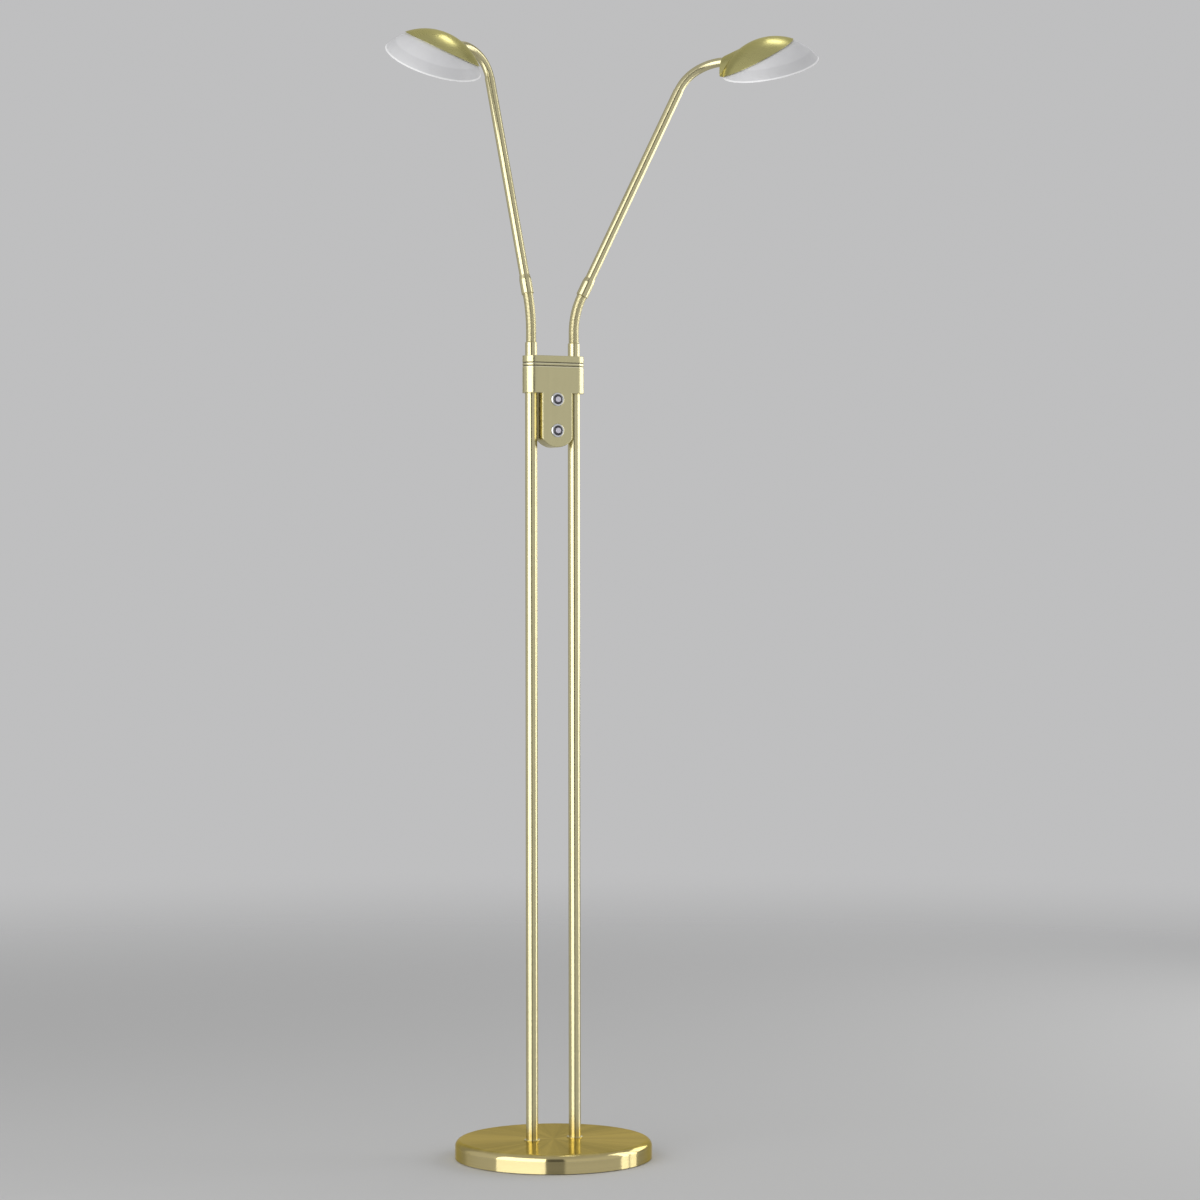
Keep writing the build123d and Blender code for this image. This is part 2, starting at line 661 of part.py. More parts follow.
with BuildPart() as push_switches:
    for height in BUTTON_HEIGHTS.values():
        with BuildSketch(Plane.XZ.offset(-BOARD_FRONT)):
            with Locations((0, height)):
                RectangleRounded(SWITCH_SIZE, SWITCH_SIZE, SWITCH_CORNER)
        extrude(amount=BOARD_FRONT - SWITCH_FRONT - SWITCH_PLUNGER)
        add(post(0, height, SWITCH_PLUNGER_RADIUS, SWITCH_FRONT, BOARD_FRONT - 1))
push_switches.part.label = "push_switches"
save(push_switches.part)

for level, height in BUTTON_HEIGHTS.items():
    axis_plane = Plane(origin=(0, 0, height), x_dir=(1, 0, 0), z_dir=(0, 1, 0))
    bezel_front = HOUSING_FRONT - BEZEL_PROUD
    bezel = turned(
        f"button_bezel_{level}",
        axis_plane,
        [
            (BEZEL_BORE, bezel_front + BEZEL_INNER_EDGE),
            (BEZEL_BORE + BEZEL_INNER_EDGE, bezel_front),
            (BEZEL_RADIUS - BEZEL_OUTER_EDGE, bezel_front),
            (BEZEL_RADIUS, bezel_front + BEZEL_OUTER_EDGE),
            (BEZEL_RADIUS, HOUSING_FRONT),
            (BEZEL_BARREL, HOUSING_FRONT),
            (BEZEL_BARREL, BEZEL_BACK),
            (BEZEL_BORE, BEZEL_BACK),
        ],
    )
    save(bezel)
    flange_front = BEZEL_BACK + BUTTON_FLANGE_GAP
    lens_seat = BUTTON_FRONT + BUTTON_LENS_SEAT
    key = turned(
        f"button_{level}",
        axis_plane,
        [
            (0, lens_seat),
            (BUTTON_LENS_RADIUS, lens_seat),
            (BUTTON_LENS_RADIUS, BUTTON_FRONT + BUTTON_DISH),
            (BUTTON_RADIUS - BUTTON_EDGE, BUTTON_FRONT),
            (BUTTON_RADIUS, BUTTON_FRONT + BUTTON_EDGE),
            (BUTTON_RADIUS, flange_front),
            (BUTTON_FLANGE_RADIUS, flange_front),
            (BUTTON_FLANGE_RADIUS, flange_front + BUTTON_FLANGE),
            (0, flange_front + BUTTON_FLANGE),
        ],
    )
    save(key)
    with BuildPart() as lens:
        with BuildSketch(Plane.XZ.offset(-lens_seat)):
            with Locations((0, height)):
                Circle(BUTTON_LENS_RADIUS)
        extrude(amount=BUTTON_LENS_HEIGHT, taper=BUTTON_LENS_TAPER)
        fillet(lens.edges().sort_by(Axis.Y)[0], BUTTON_DISH)
    lens.part.label = f"button_lens_{level}"
    save(lens.part)

# ================================================================ arms


def ribbed_tube(name, line, first_rib, plug_from, plug_reach):
    """Half of a ribbed gooseneck, with its bore and a smooth plug at one end."""
    quarter = RIB_PITCH / 4
    sections = []
    for rib in range(first_rib, first_rib + RIBS_PER_HALF):
        for step, radius in enumerate((RIB_VALLEY, RIB_PEAK, RIB_PEAK, RIB_VALLEY)):
            sections.append((line.station(rib * RIB_PITCH + step * quarter), radius))
    end = (first_rib + RIBS_PER_HALF) * RIB_PITCH
    sections.append((line.station(end), RIB_VALLEY))
    plug_plane = line.station(plug_from)
    with BuildPart() as tube:
        for plane, radius in sections:
            with BuildSketch(plane):
                Circle(radius)
        loft(ruled=True)
        with BuildSketch(plug_plane):
            Circle(NECK_PLUG_RADIUS)
        extrude(amount=plug_reach)
        for plane, _ in sections[::4]:
            with BuildSketch(plane):
                Circle(NECK_BORE)
        loft(ruled=True, mode=Mode.SUBTRACT)
        with BuildSketch(plug_plane):
            Circle(NECK_BORE)
        extrude(amount=plug_reach, mode=Mode.SUBTRACT)
    tube.part.label = name
    return tube.part


def smooth_tube(name, line, plug_reach):
    """Half of a smooth flexible neck, with its bore and any narrower plug at its root."""
    start = line.station(0)
    middle = line.station(line.length / 2)
    end = line.station(line.length)
    with BuildPart() as tube:
        with BuildLine():
            ThreePointArc(start.origin, middle.origin, end.origin)
        with BuildSketch(start):
            Circle(UPPER_NECK_RADIUS)
            Circle(NECK_BORE, mode=Mode.SUBTRACT)
        sweep()
        if plug_reach:
            with BuildSketch(start):
                Circle(ARM_RADIUS - ARM_WALL - POLE_CLEARANCE)
                Circle(NECK_BORE, mode=Mode.SUBTRACT)
            extrude(amount=-plug_reach)
    tube.part.label = name
    return tube.part


def dome(frame, radius, low, hole):
    """Solid part of a ball above a level in a head, with a round hole down its axis."""
    rim = math.sqrt(radius**2 - (low - DOME_CENTRE) ** 2)
    top = DOME_CENTRE + math.sqrt(radius**2 - hole**2)
    half_way = math.radians(45)
    middle = (radius * math.cos(half_way), DOME_CENTRE + radius * math.sin(half_way))
    with BuildPart() as ball:
        with BuildSketch(side_of(frame)):
            with BuildLine():
                ThreePointArc((rim, low), middle, (hole, top))
                Polyline((hole, top), (hole, low), (rim, low))
            make_face()
        revolve(axis=Axis(frame.origin, frame.z_dir))
    return ball.part


def saddle(frame, inset):
    """Solid under the cover's rear, from its flat end wall forward into the dome."""
    sections = (
        (ENTRY_REACH + inset, SADDLE_REAR_HALF_WIDTH - inset, SADDLE_REAR_TOP - inset),
        (SADDLE_FRONT, SADDLE_FRONT_HALF_WIDTH - inset, SADDLE_FRONT_TOP - inset),
    )
    with BuildPart() as body:
        for reach, half_width, top in sections:
            origin = frame.from_local_coords(Vector(reach, 0, 0))
            with BuildSketch(Plane(origin=origin, x_dir=frame.y_dir, z_dir=frame.x_dir)):
                with BuildLine():
                    ThreePointArc((-half_width, HEAD_LOW), (0, top), (half_width, HEAD_LOW))
                    Line((half_width, HEAD_LOW), (-half_width, HEAD_LOW))
                make_face()
        loft(ruled=True)
    return body.part


def along_neck(frame):
    """Plane at the middle of the neck's entry, whose Z axis runs along the head."""
    origin = frame.from_local_coords(Vector(0, 0, ENTRY_HEIGHT))
    return Plane(origin=origin, x_dir=frame.z_dir, z_dir=frame.x_dir)


def rod(frame, radius, start, end):
    """Round rod on the neck's axis in a head, between two distances along it."""
    with BuildPart() as piece:
        with BuildSketch(along_neck(frame).offset(start)):
            Circle(radius)
        extrude(amount=end - start)
    return piece.part


def disc(frame, radius, low, high):
    """Round disc on a head's axis between two heights."""
    with BuildPart() as piece:
        with BuildSketch(frame.offset(low)):
            Circle(radius)
        extrude(amount=high - low)
    return piece.part


def build_arm(pose):
    """Everything on one arm, from its ferrule on the housing to its lamp head."""
    arm_way = lean_direction(pose)
    crook_way = tilt_direction(pose, pose.crook_tilt, pose.crook_forward)
    head_way = tilt_direction(pose, pose.head_tilt, pose.head_forward)
    upright = Vector(0, 0, 1)
    foot = Vector(pose.outward * POLE_X, 0, LOWER_FERRULE_TOP)
    lower_neck = Bend(foot, upright, arm_way, LOWER_NECK_STRAIGHT, LOWER_NECK_BENT)
    elbow = lower_neck.station(LOWER_NECK_STRAIGHT + LOWER_NECK_BENT).origin
    arm_end = elbow + arm_way * ARM_REACH
    near_crook = Bend(arm_end, arm_way, crook_way, 0, UPPER_NECK_LENGTH / 2)
    bend_middle = near_crook.station(UPPER_NECK_LENGTH / 2).origin
    far_crook = Bend(bend_middle, crook_way, head_way, 0, UPPER_NECK_LENGTH / 2)
    entry = far_crook.station(UPPER_NECK_LENGTH / 2).origin
    side = pose.name

    # ferrule that holds the lower neck on the housing
    save(
        turned(
            f"lower_ferrule_{side}",
            Plane(origin=(foot.X, foot.Y, 0)),
            [
                (FERRULE_BORE, SPIGOT_BOTTOM),
                (SPIGOT_RADIUS, SPIGOT_BOTTOM),
                (SPIGOT_RADIUS, HOUSING_TOP),
                (LOWER_FERRULE_RADIUS, HOUSING_TOP),
                (LOWER_FERRULE_RADIUS, LOWER_FERRULE_TOP - FERRULE_EDGE),
                (LOWER_FERRULE_RADIUS - FERRULE_EDGE, LOWER_FERRULE_TOP),
                (SPIGOT_RADIUS, LOWER_FERRULE_TOP),
                (SPIGOT_RADIUS, LOWER_FERRULE_TOP - NECK_PLUG - TUBE_EDGE),
                (FERRULE_BORE, LOWER_FERRULE_TOP - NECK_PLUG - TUBE_EDGE),
            ],
        )
    )

    # ribbed lower neck in two halves, one for each of its bends
    neck_end = LOWER_NECK_STRAIGHT + LOWER_NECK_BENT
    save(ribbed_tube(f"lower_neck_{side}_root", lower_neck, 0, 0, -NECK_PLUG))
    save(ribbed_tube(f"lower_neck_{side}_tip", lower_neck, RIBS_PER_HALF, neck_end, NECK_PLUG))

    # ferrule, tube and lead of the straight arm
    arm_plane = along_plane(elbow, arm_way)
    save(
        turned(
            f"upper_ferrule_{side}",
            arm_plane,
            [
                (SPIGOT_RADIUS, 0),
                (UPPER_FERRULE_RADIUS - FERRULE_EDGE, 0),
                (UPPER_FERRULE_RADIUS, FERRULE_EDGE),
                (UPPER_FERRULE_RADIUS, UPPER_FERRULE_LENGTH - UPPER_FERRULE_TAPER),
                (ARM_RADIUS + FERRULE_LIP, UPPER_FERRULE_LENGTH),
                (ARM_RADIUS, UPPER_FERRULE_LENGTH),
                (ARM_RADIUS, NECK_PLUG + 1),
                (SPIGOT_RADIUS, NECK_PLUG + 1),
            ],
        )
    )
    save(
        turned(
            f"arm_tube_{side}",
            arm_plane,
            [
                (ARM_RADIUS - ARM_WALL, NECK_PLUG + 1),
                (ARM_RADIUS, NECK_PLUG + 1),
                (ARM_RADIUS, ARM_REACH - TUBE_EDGE),
                (ARM_RADIUS - TUBE_EDGE, ARM_REACH),
                (ARM_RADIUS - ARM_WALL, ARM_REACH),
            ],
        )
    )
    save(
        turned(
            f"arm_lead_{side}",
            arm_plane,
            [
                (0, NECK_PLUG + 1),
                (LEAD_RADIUS, NECK_PLUG + 1),
                (LEAD_RADIUS, ARM_REACH - NECK_PLUG),
                (0, ARM_REACH - NECK_PLUG),
            ],
        )
    )

    # smooth upper neck in two halves
    save(smooth_tube(f"upper_neck_{side}_root", near_crook, NECK_PLUG))
    save(smooth_tube(f"upper_neck_{side}_tip", far_crook, 0))

    # lamp head, whose swivel pin carries on from the neck's end
    level = upright - head_way * head_way.Z
    roll = Axis((0, 0, 0), head_way)
    top_way = level.normalized().rotate(roll, pose.outward * pose.head_roll)
    rear = ENTRY_REACH - PIVOT_GAP - PIVOT_FLANGE
    centre = entry - head_way * rear - top_way * ENTRY_HEIGHT
    build_head(side, Plane(origin=centre, x_dir=head_way, z_dir=top_way))


def build_head(side, frame):
    """One lamp head about a plane at its rim, and the swivel pin that carries it."""
    rear = ENTRY_REACH - PIVOT_GAP - PIVOT_FLANGE

    swivel = turned(
        f"head_pivot_{side}",
        along_neck(frame),
        [
            (PIVOT_BORE, rear - PIVOT_STUB),
            (NECK_BORE - PIVOT_STUB_GAP, rear - PIVOT_STUB),
            (NECK_BORE - PIVOT_STUB_GAP, rear),
            (UPPER_NECK_RADIUS, rear),
            (PIVOT_FLANGE_RADIUS, rear + PIVOT_EDGE),
            (PIVOT_FLANGE_RADIUS, rear + PIVOT_FLANGE - PIVOT_EDGE),
            (PIVOT_FLANGE_RADIUS - PIVOT_EDGE, rear + PIVOT_FLANGE),
            (PIVOT_RADIUS, rear + PIVOT_FLANGE),
            (PIVOT_RADIUS, SOCKET_INNER + PIVOT_GAP),
            (CLIP_GROOVE_RADIUS, SOCKET_INNER + PIVOT_GAP),
            (CLIP_GROOVE_RADIUS, SOCKET_INNER + PIVOT_GAP + CLIP_THICKNESS),
            (PIVOT_RADIUS, SOCKET_INNER + PIVOT_GAP + CLIP_THICKNESS),
            (PIVOT_RADIUS, PIVOT_END),
            (PIVOT_BORE, PIVOT_END),
        ],
    )
    save(swivel)

    with BuildPart() as pivot_clip:
        with BuildSketch(along_neck(frame).offset(SOCKET_INNER + PIVOT_GAP)):
            Circle(CLIP_RADIUS)
            Circle(CLIP_GROOVE_RADIUS, mode=Mode.SUBTRACT)
            with Locations((-CLIP_RADIUS, 0)):
                Rectangle(CLIP_RADIUS, CLIP_SLOT, mode=Mode.SUBTRACT)
        extrude(amount=CLIP_THICKNESS)
    pivot_clip.part.label = f"pivot_clip_{side}"
    save(pivot_clip.part)

    # brass cover: a ball skin and a saddle, cut along a plane that tips to the tip
    edge_way = frame.z_dir * math.cos(math.radians(COVER_TILT))
    edge_way -= frame.x_dir * math.sin(math.radians(COVER_TILT))
    ball_centre = frame.from_local_coords(Vector(0, 0, DOME_CENTRE))
    edge_plane = Plane(origin=ball_centre + edge_way * COVER_EDGE_DISTANCE, z_dir=edge_way)
    stud_top = DOME_CENTRE + (COVER_INNER + COVER_OUTER) / 2
    with BuildPart() as head_cover:
        add(dome(frame, COVER_OUTER, HEAD_LOW, 0))
        add(saddle(frame, 0))
        add(dome(frame, COVER_INNER, HEAD_LOW, 0), mode=Mode.SUBTRACT)
        add(saddle(frame, COVER_OUTER - COVER_INNER), mode=Mode.SUBTRACT)
        split(bisect_by=edge_plane, keep=Keep.TOP)
        hole_radius = PIVOT_RADIUS + PIVOT_GAP
        wall_end = ENTRY_REACH + END_WALL_REACH
        add(rod(frame, hole_radius, ENTRY_REACH - 1, wall_end), mode=Mode.SUBTRACT)
        add(disc(frame, STUD_RADIUS, stud_top - STUD_LENGTH, stud_top))
    head_cover.part.label = f"head_cover_{side}"
    save(head_cover.part)

    # frosted shade: a thick ball skin with a lip for the diffuser
    lip_outer = math.sqrt(SHADE_INNER**2 - DOME_CENTRE**2) + SHADE_LIP_OVERLAP
    lip_inner = DIFFUSER_RADIUS - SHADE_LIP
    hub_room = disc(frame, HUB_RADIUS + HUB_GAP, HUB_SHOULDER, SHADE_OUTER + DOME_CENTRE + 1)
    with BuildPart() as head_shade:
        add(dome(frame, SHADE_OUTER, 0, 0))
        add(dome(frame, SHADE_INNER, 0, 0), mode=Mode.SUBTRACT)
        with BuildSketch(frame):
            Circle(lip_outer)
            Circle(lip_inner, mode=Mode.SUBTRACT)
        extrude(amount=DIFFUSER_BOTTOM)
        add(hub_room, mode=Mode.SUBTRACT)
        socket_room = rod(frame, SOCKET_RADIUS + SOCKET_ROOM, 2 * ENTRY_REACH, SOCKET_INNER)
        add(socket_room, mode=Mode.SUBTRACT)
    head_shade.part.label = f"head_shade_{side}"
    save(head_shade.part)

    # carrier: cooling plate, hub under the cover and socket for the swivel pin
    hub_top = DOME_CENTRE + math.sqrt(COVER_INNER**2 - HUB_RADIUS**2) - STUD_GAP
    shoulder_top = DOME_CENTRE + math.sqrt(SHADE_INNER**2 - HUB_SHOULDER**2)
    shoulder_top -= PIVOT_STUB_GAP
    stud_room = disc(frame, STUD_RADIUS + STUD_GAP, hub_top - STUD_LENGTH - 1, hub_top + 1)
    with BuildPart() as head_carrier:
        add(disc(frame, CARRIER_RADIUS, CARRIER_BOTTOM, CARRIER_TOP))
        add(disc(frame, HUB_RADIUS, CARRIER_TOP - 1, hub_top))
        add(disc(frame, HUB_SHOULDER, shoulder_top - HUB_SHOULDER_DEPTH, shoulder_top))
        with BuildSketch(frame.offset(CARRIER_TOP - 1)):
            with PolarLocations(FIN_MIDDLE, FIN_COUNT):
                Rectangle(FIN_LENGTH, FIN_THICKNESS)
        extrude(amount=FIN_HEIGHT)
        add(rod(frame, SOCKET_RADIUS, SOCKET_OUTER, SOCKET_INNER))
        pin_bore = PIVOT_RADIUS + PIVOT_CLEARANCE
        add(rod(frame, pin_bore, ENTRY_REACH, SOCKET_INNER), mode=Mode.SUBTRACT)
        add(rod(frame, CLIP_RADIUS + 1, SOCKET_INNER, PIVOT_END + 2), mode=Mode.SUBTRACT)
        add(stud_room, mode=Mode.SUBTRACT)
        with BuildSketch(frame.offset(CARRIER_BOTTOM - 1)):
            with PolarLocations(HEAD_SCREW_RING, HEAD_SCREW_COUNT):
                Circle(SCREW_RADIUS + SCREW_GAP)
        extrude(amount=CARRIER_TOP - CARRIER_BOTTOM + 2, mode=Mode.SUBTRACT)
    head_carrier.part.label = f"head_carrier_{side}"
    save(head_carrier.part)

    # board, its lights, its screws and the diffuser under them
    with BuildPart() as light_board:
        with BuildSketch(frame.offset(LED_BOARD_BOTTOM)):
            Circle(BOARD_RADIUS)
            Circle(BOARD_HOLE_RADIUS, mode=Mode.SUBTRACT)
            with PolarLocations(HEAD_SCREW_RING, HEAD_SCREW_COUNT):
                Circle(SCREW_RADIUS + SCREW_GAP, mode=Mode.SUBTRACT)
        extrude(amount=CARRIER_BOTTOM - LED_BOARD_BOTTOM)
    light_board.part.label = f"light_board_{side}"
    save(light_board.part)

    with BuildPart() as light_chips:
        with BuildSketch(frame.offset(LED_BOARD_BOTTOM - LED_HEIGHT)):
            for ring_radius, count in LED_RINGS:
                with PolarLocations(ring_radius, count):
                    Rectangle(*LED_SIZE)
        extrude(amount=LED_HEIGHT)
    light_chips.part.label = f"light_chips_{side}"
    save(light_chips.part)

    with BuildPart() as board_fixings:
        with BuildSketch(frame.offset(LED_BOARD_BOTTOM - HEAD_SCREW_HEAD)):
            with PolarLocations(HEAD_SCREW_RING, HEAD_SCREW_COUNT):
                Circle(SCREW_HEAD_RADIUS)
        extrude(amount=HEAD_SCREW_HEAD)
        with BuildSketch(frame.offset(LED_BOARD_BOTTOM - HEAD_SCREW_HEAD / 2)):
            with PolarLocations(HEAD_SCREW_RING, HEAD_SCREW_COUNT):
                Circle(SCREW_RADIUS)
        extrude(amount=CARRIER_TOP - LED_BOARD_BOTTOM)
    board_fixings.part.label = f"head_screws_{side}"
    save(board_fixings.part)

    diffuser_top = DIFFUSER_BOTTOM + DIFFUSER_THICKNESS
    head_diffuser = disc(frame, DIFFUSER_RADIUS, DIFFUSER_BOTTOM, diffuser_top)
    head_diffuser.label = f"head_diffuser_{side}"
    save(head_diffuser)


for arm_pose in ARM_POSES:
    build_arm(arm_pose)
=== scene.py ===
import logging
import math
from dataclasses import dataclass
from enum import Enum
from typing import Callable, Optional, Union

import bmesh
import bpy
from mathutils import Matrix, Quaternion, Vector


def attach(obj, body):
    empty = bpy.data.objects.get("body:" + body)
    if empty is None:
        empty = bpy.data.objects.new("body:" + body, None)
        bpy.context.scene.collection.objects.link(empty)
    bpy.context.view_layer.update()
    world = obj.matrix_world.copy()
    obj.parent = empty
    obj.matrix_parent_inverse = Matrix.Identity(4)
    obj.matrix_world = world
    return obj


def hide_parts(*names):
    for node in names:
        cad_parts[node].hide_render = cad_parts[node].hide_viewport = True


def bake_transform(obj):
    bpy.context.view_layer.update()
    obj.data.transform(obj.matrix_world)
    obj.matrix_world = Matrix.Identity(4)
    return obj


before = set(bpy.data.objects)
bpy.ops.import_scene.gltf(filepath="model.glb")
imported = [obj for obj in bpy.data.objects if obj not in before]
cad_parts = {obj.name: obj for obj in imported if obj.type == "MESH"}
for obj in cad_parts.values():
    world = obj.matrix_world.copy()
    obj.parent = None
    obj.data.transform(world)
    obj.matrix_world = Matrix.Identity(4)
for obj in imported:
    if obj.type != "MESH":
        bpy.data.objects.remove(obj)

# Twin-arm floor reading lamp: finishes, wound necks, studio and camera.
# Metres, in the frame of the solids: +Z up, the base's middle on the floor at the origin.

logging.basicConfig(level=logging.INFO, format="%(name)s: %(message)s")
log = logging.getLogger("reading_lamp")

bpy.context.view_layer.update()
MM = 0.001
UP = Vector((0.0, 0.0, 1.0))
Colour = tuple[float, float, float]
Node = bpy.types.Node
NodeTree = bpy.types.NodeTree
Socket = bpy.types.NodeSocket
Ports = bpy.types.NodeOutputs
Material = bpy.types.Material
Thing = bpy.types.Object
Value = Union[float, int, Socket]
Point = tuple[float, float, float]
Pair = tuple[float, float]
Inputs = dict[Union[int, str], object]


class Side(Enum):
    """One of the two arms; its value is the sign of its direction along X."""

    LEFT = -1
    RIGHT = 1

    @property
    def label(self) -> str:
        """Name of the side as the solids spell it."""
        return self.name.lower()


class Grain(Enum):
    """Which way the fine lines of a brushed finish run."""

    ALONG = "along"
    ROUND = "round"


# ---- node sheets


def tinted(colour: Colour, factor: float) -> Colour:
    """The same colour, lighter or darker."""
    return tuple(min(1.0, part * factor) for part in colour)


class NodeSheet:
    """Short way to add nodes to one tree and join them."""

    def __init__(self, tree: NodeTree) -> None:
        """Keep the tree to write in."""
        self.tree = tree

    def fill(self, node: Node, inputs: Inputs) -> Node:
        """Join sockets to a node's inputs, or set the inputs' own values.

        Args:
            node: the node.
            inputs: a socket or a plain value for each input, by its name or number.

        Returns:
            The node.
        """
        for key, value in inputs.items():
            if isinstance(value, Socket):
                self.tree.links.new(value, node.inputs[key])
            else:
                node.inputs[key].default_value = value
        return node

    def add(self, kind: str, inputs: Optional[Inputs] = None, **settings: object) -> Node:
        """Add a node.

        Args:
            kind: the node's type name.
            inputs: what its inputs get, by name or number.
            settings: attributes to set on it.

        Returns:
            The new node.
        """
        node = self.tree.nodes.new(kind)
        for name, value in settings.items():
            setattr(node, name, value)
        return self.fill(node, inputs or {})

    def math(self, operation: str, *operands: Value, clamp: bool = False) -> Socket:
        """Result of a Math node, kept from 0 to 1 if clamped."""
        inputs = dict(enumerate(operands))
        return self.add("ShaderNodeMath", inputs, operation=operation, use_clamp=clamp).outputs[0]

    def vector(self, operation: str, *operands: object) -> Socket:
        """Result of a Vector Math node, a number for DOT_PRODUCT and LENGTH."""
        node = self.add("ShaderNodeVectorMath", dict(enumerate(operands)), operation=operation)
        return node.outputs["Value" if operation in ("DOT_PRODUCT", "LENGTH") else "Vector"]

    def scaled(self, vector: object, factor: Value) -> Socket:
        """A vector times a number."""
        inputs = {0: vector, "Scale": factor}
        return self.add("ShaderNodeVectorMath", inputs, operation="SCALE").outputs[0]

    def axes(self, vector: Socket) -> Ports:
        """The parts of a vector along X, Y and Z."""
        return self.add("ShaderNodeSeparateXYZ", {0: vector}).outputs

    def noise(self, position: Socket, scale: Value, detail: float = 2.0, rough: float = 0.5) -> Socket:
        """Add a Noise Texture.

        Args:
            position: where it is read.
            scale: its features per metre.
            detail: its octaves.
            rough: how strong the finer octaves are.

        Returns:
            The noise, about 0.5 on average.
        """
        inputs = {"Vector": position, "Scale": scale, "Detail": detail, "Roughness": rough}
        return self.add("ShaderNodeTexNoise", inputs).outputs["Fac"]

    def spread(self, value: Socket, low: Value, high: Value, start: Value = 0.0, end: Value = 1.0) -> Socket:
        """Smoothly map low to start and high to end, and what lies between them between those."""
        inputs = dict(enumerate((value, low, high, start, end)))
        return self.add("ShaderNodeMapRange", inputs, interpolation_type="SMOOTHSTEP").outputs[0]

    def blend(self, share: Value, first: object, second: object) -> Socket:
        """Mix two colours.

        Args:
            share: how much of the second.
            first: a colour.
            second: a colour.

        Returns:
            The mixed colour.
        """
        node = self.add("ShaderNodeMix", {"Factor": share}, data_type="RGBA")
        places = [i for i, socket in enumerate(node.inputs) if socket.type == "RGBA"]
        for place, given in zip(places, (first, second)):
            self.fill(node, {place: given if isinstance(given, Socket) else (*given, 1.0)})
        return next(socket for socket in node.outputs if socket.type == "RGBA")

    def tones(self, share: Value, colour: Colour, tints: Pair) -> Socket:
        """Mix a darker or lighter tone of a colour with another tone of it."""
        return self.blend(share, *(tinted(colour, tint) for tint in tints))

    def facing(self, way: object) -> Socket:
        """How far a face looks a given way, from -1 to 1."""
        return self.vector("DOT_PRODUCT", self.add("ShaderNodeNewGeometry").outputs["Normal"], way)

    def relief(self, height: Socket, strength: float, depth: float, start: Optional[Socket] = None) -> Socket:
        """Turn a height into a normal.

        Args:
            height: the height, from 0 to 1.
            strength: how much of it shows.
            depth: what 1 stands for, in metres.
            start: the normal it starts from, if any.

        Returns:
            The normal.
        """
        inputs = {"Strength": strength, "Distance": depth, "Height": height}
        joined = {} if start is None else {"Normal": start}
        return self.add("ShaderNodeBump", inputs | joined).outputs[0]


# ---- shared effects


@dataclass(frozen=True)
class SharedEffect:
    """An effect that several finishes share: a node group, built at first use."""

    name: str
    inputs: dict[str, float]
    write: Callable[[NodeSheet, Ports], dict[str, Socket]]

    def tree(self) -> NodeTree:
        """The node group.

        Returns:
            The group, with a position and the effect's own numbers as inputs.
        """
        found = bpy.data.node_groups.get(self.name)
        if found:
            return found
        tree = bpy.data.node_groups.new(self.name, "ShaderNodeTree")
        tree.interface.new_socket("Position", in_out="INPUT", socket_type="NodeSocketVector")
        for label, value in self.inputs.items():
            socket = tree.interface.new_socket(label, in_out="INPUT", socket_type="NodeSocketFloat")
            socket.default_value = value
        sheet = NodeSheet(tree)
        results = self.write(sheet, sheet.add("NodeGroupInput").outputs)
        for label, socket in results.items():
            kind = "NodeSocketVector" if socket.type == "VECTOR" else "NodeSocketFloat"
            tree.interface.new_socket(label, in_out="OUTPUT", socket_type=kind)
        sheet.add("NodeGroupOutput", results)
        return tree

    def on(self, sheet: NodeSheet, position: Socket, **values: Value) -> Ports:
        """Outputs of the effect, placed in a material with its other inputs by name."""
        return sheet.add("ShaderNodeGroup", {"Position": position, **values}, node_tree=self.tree()).outputs


def fine_lines(sheet: NodeSheet, place: Socket, coarse_scale: float) -> dict[str, Socket]:
    """Fine lines with wider ones among them, read at a stretched place.

    Args:
        sheet: the group's sheet.
        place: the stretched place.
        coarse_scale: size of the fine lines against the wider ones.

    Returns:
        Their shade and height.
    """
    fine = sheet.noise(place, 1.0, 3.0, 0.6)
    coarse = sheet.math("MULTIPLY", sheet.noise(place, coarse_scale), 0.5)
    shade = sheet.math("MULTIPLY_ADD", fine, 0.5, coarse)
    return {"Shade": sheet.spread(shade, 0.34, 0.66), "Height": fine}


def write_brushing(sheet: NodeSheet, given: Ports) -> dict[str, Socket]:
    """Fine parallel lines: long along local Z, close together across it.

    Args:
        sheet: the group's sheet.
        given: the group's inputs.

    Returns:
        The group's outputs by name.
    """
    inputs = {"X": given["Across"], "Y": given["Across"], "Z": given["Along"]}
    scale = sheet.add("ShaderNodeCombineXYZ", inputs).outputs[0]
    return fine_lines(sheet, sheet.vector("MULTIPLY", given["Position"], scale), 0.21)


def write_turning(sheet: NodeSheet, given: Ports) -> dict[str, Socket]:
    """Fine lines that run round local Z, as turned or spun metal has, and a mask of wedges round it for a
    painted highlight.

    Args:
        sheet: the group's sheet.
        given: the group's inputs.

    Returns:
        The group's outputs by name.
    """
    parts = sheet.axes(given["Position"])
    flat = sheet.add("ShaderNodeCombineXYZ", {"X": parts["X"], "Y": parts["Y"]}).outputs[0]
    heading = sheet.vector("NORMALIZE", flat)
    headed = sheet.axes(heading)
    reach = sheet.math("ADD", sheet.vector("LENGTH", flat), parts["Z"])
    inputs = {
        "X": sheet.math("MULTIPLY", reach, given["Across"]),
        "Y": sheet.math("MULTIPLY", headed["X"], given["Along"]),
        "Z": sheet.math("MULTIPLY", headed["Y"], given["Along"]),
    }
    place = sheet.add("ShaderNodeCombineXYZ", inputs).outputs[0]
    # Wedges round the axis, for painted highlight and shade on a spun top.
    around = sheet.noise(heading, 1.6, 4.0, 0.7)
    return {**fine_lines(sheet, place, 0.17), "Sectors": sheet.spread(around, 0.3, 0.7)}


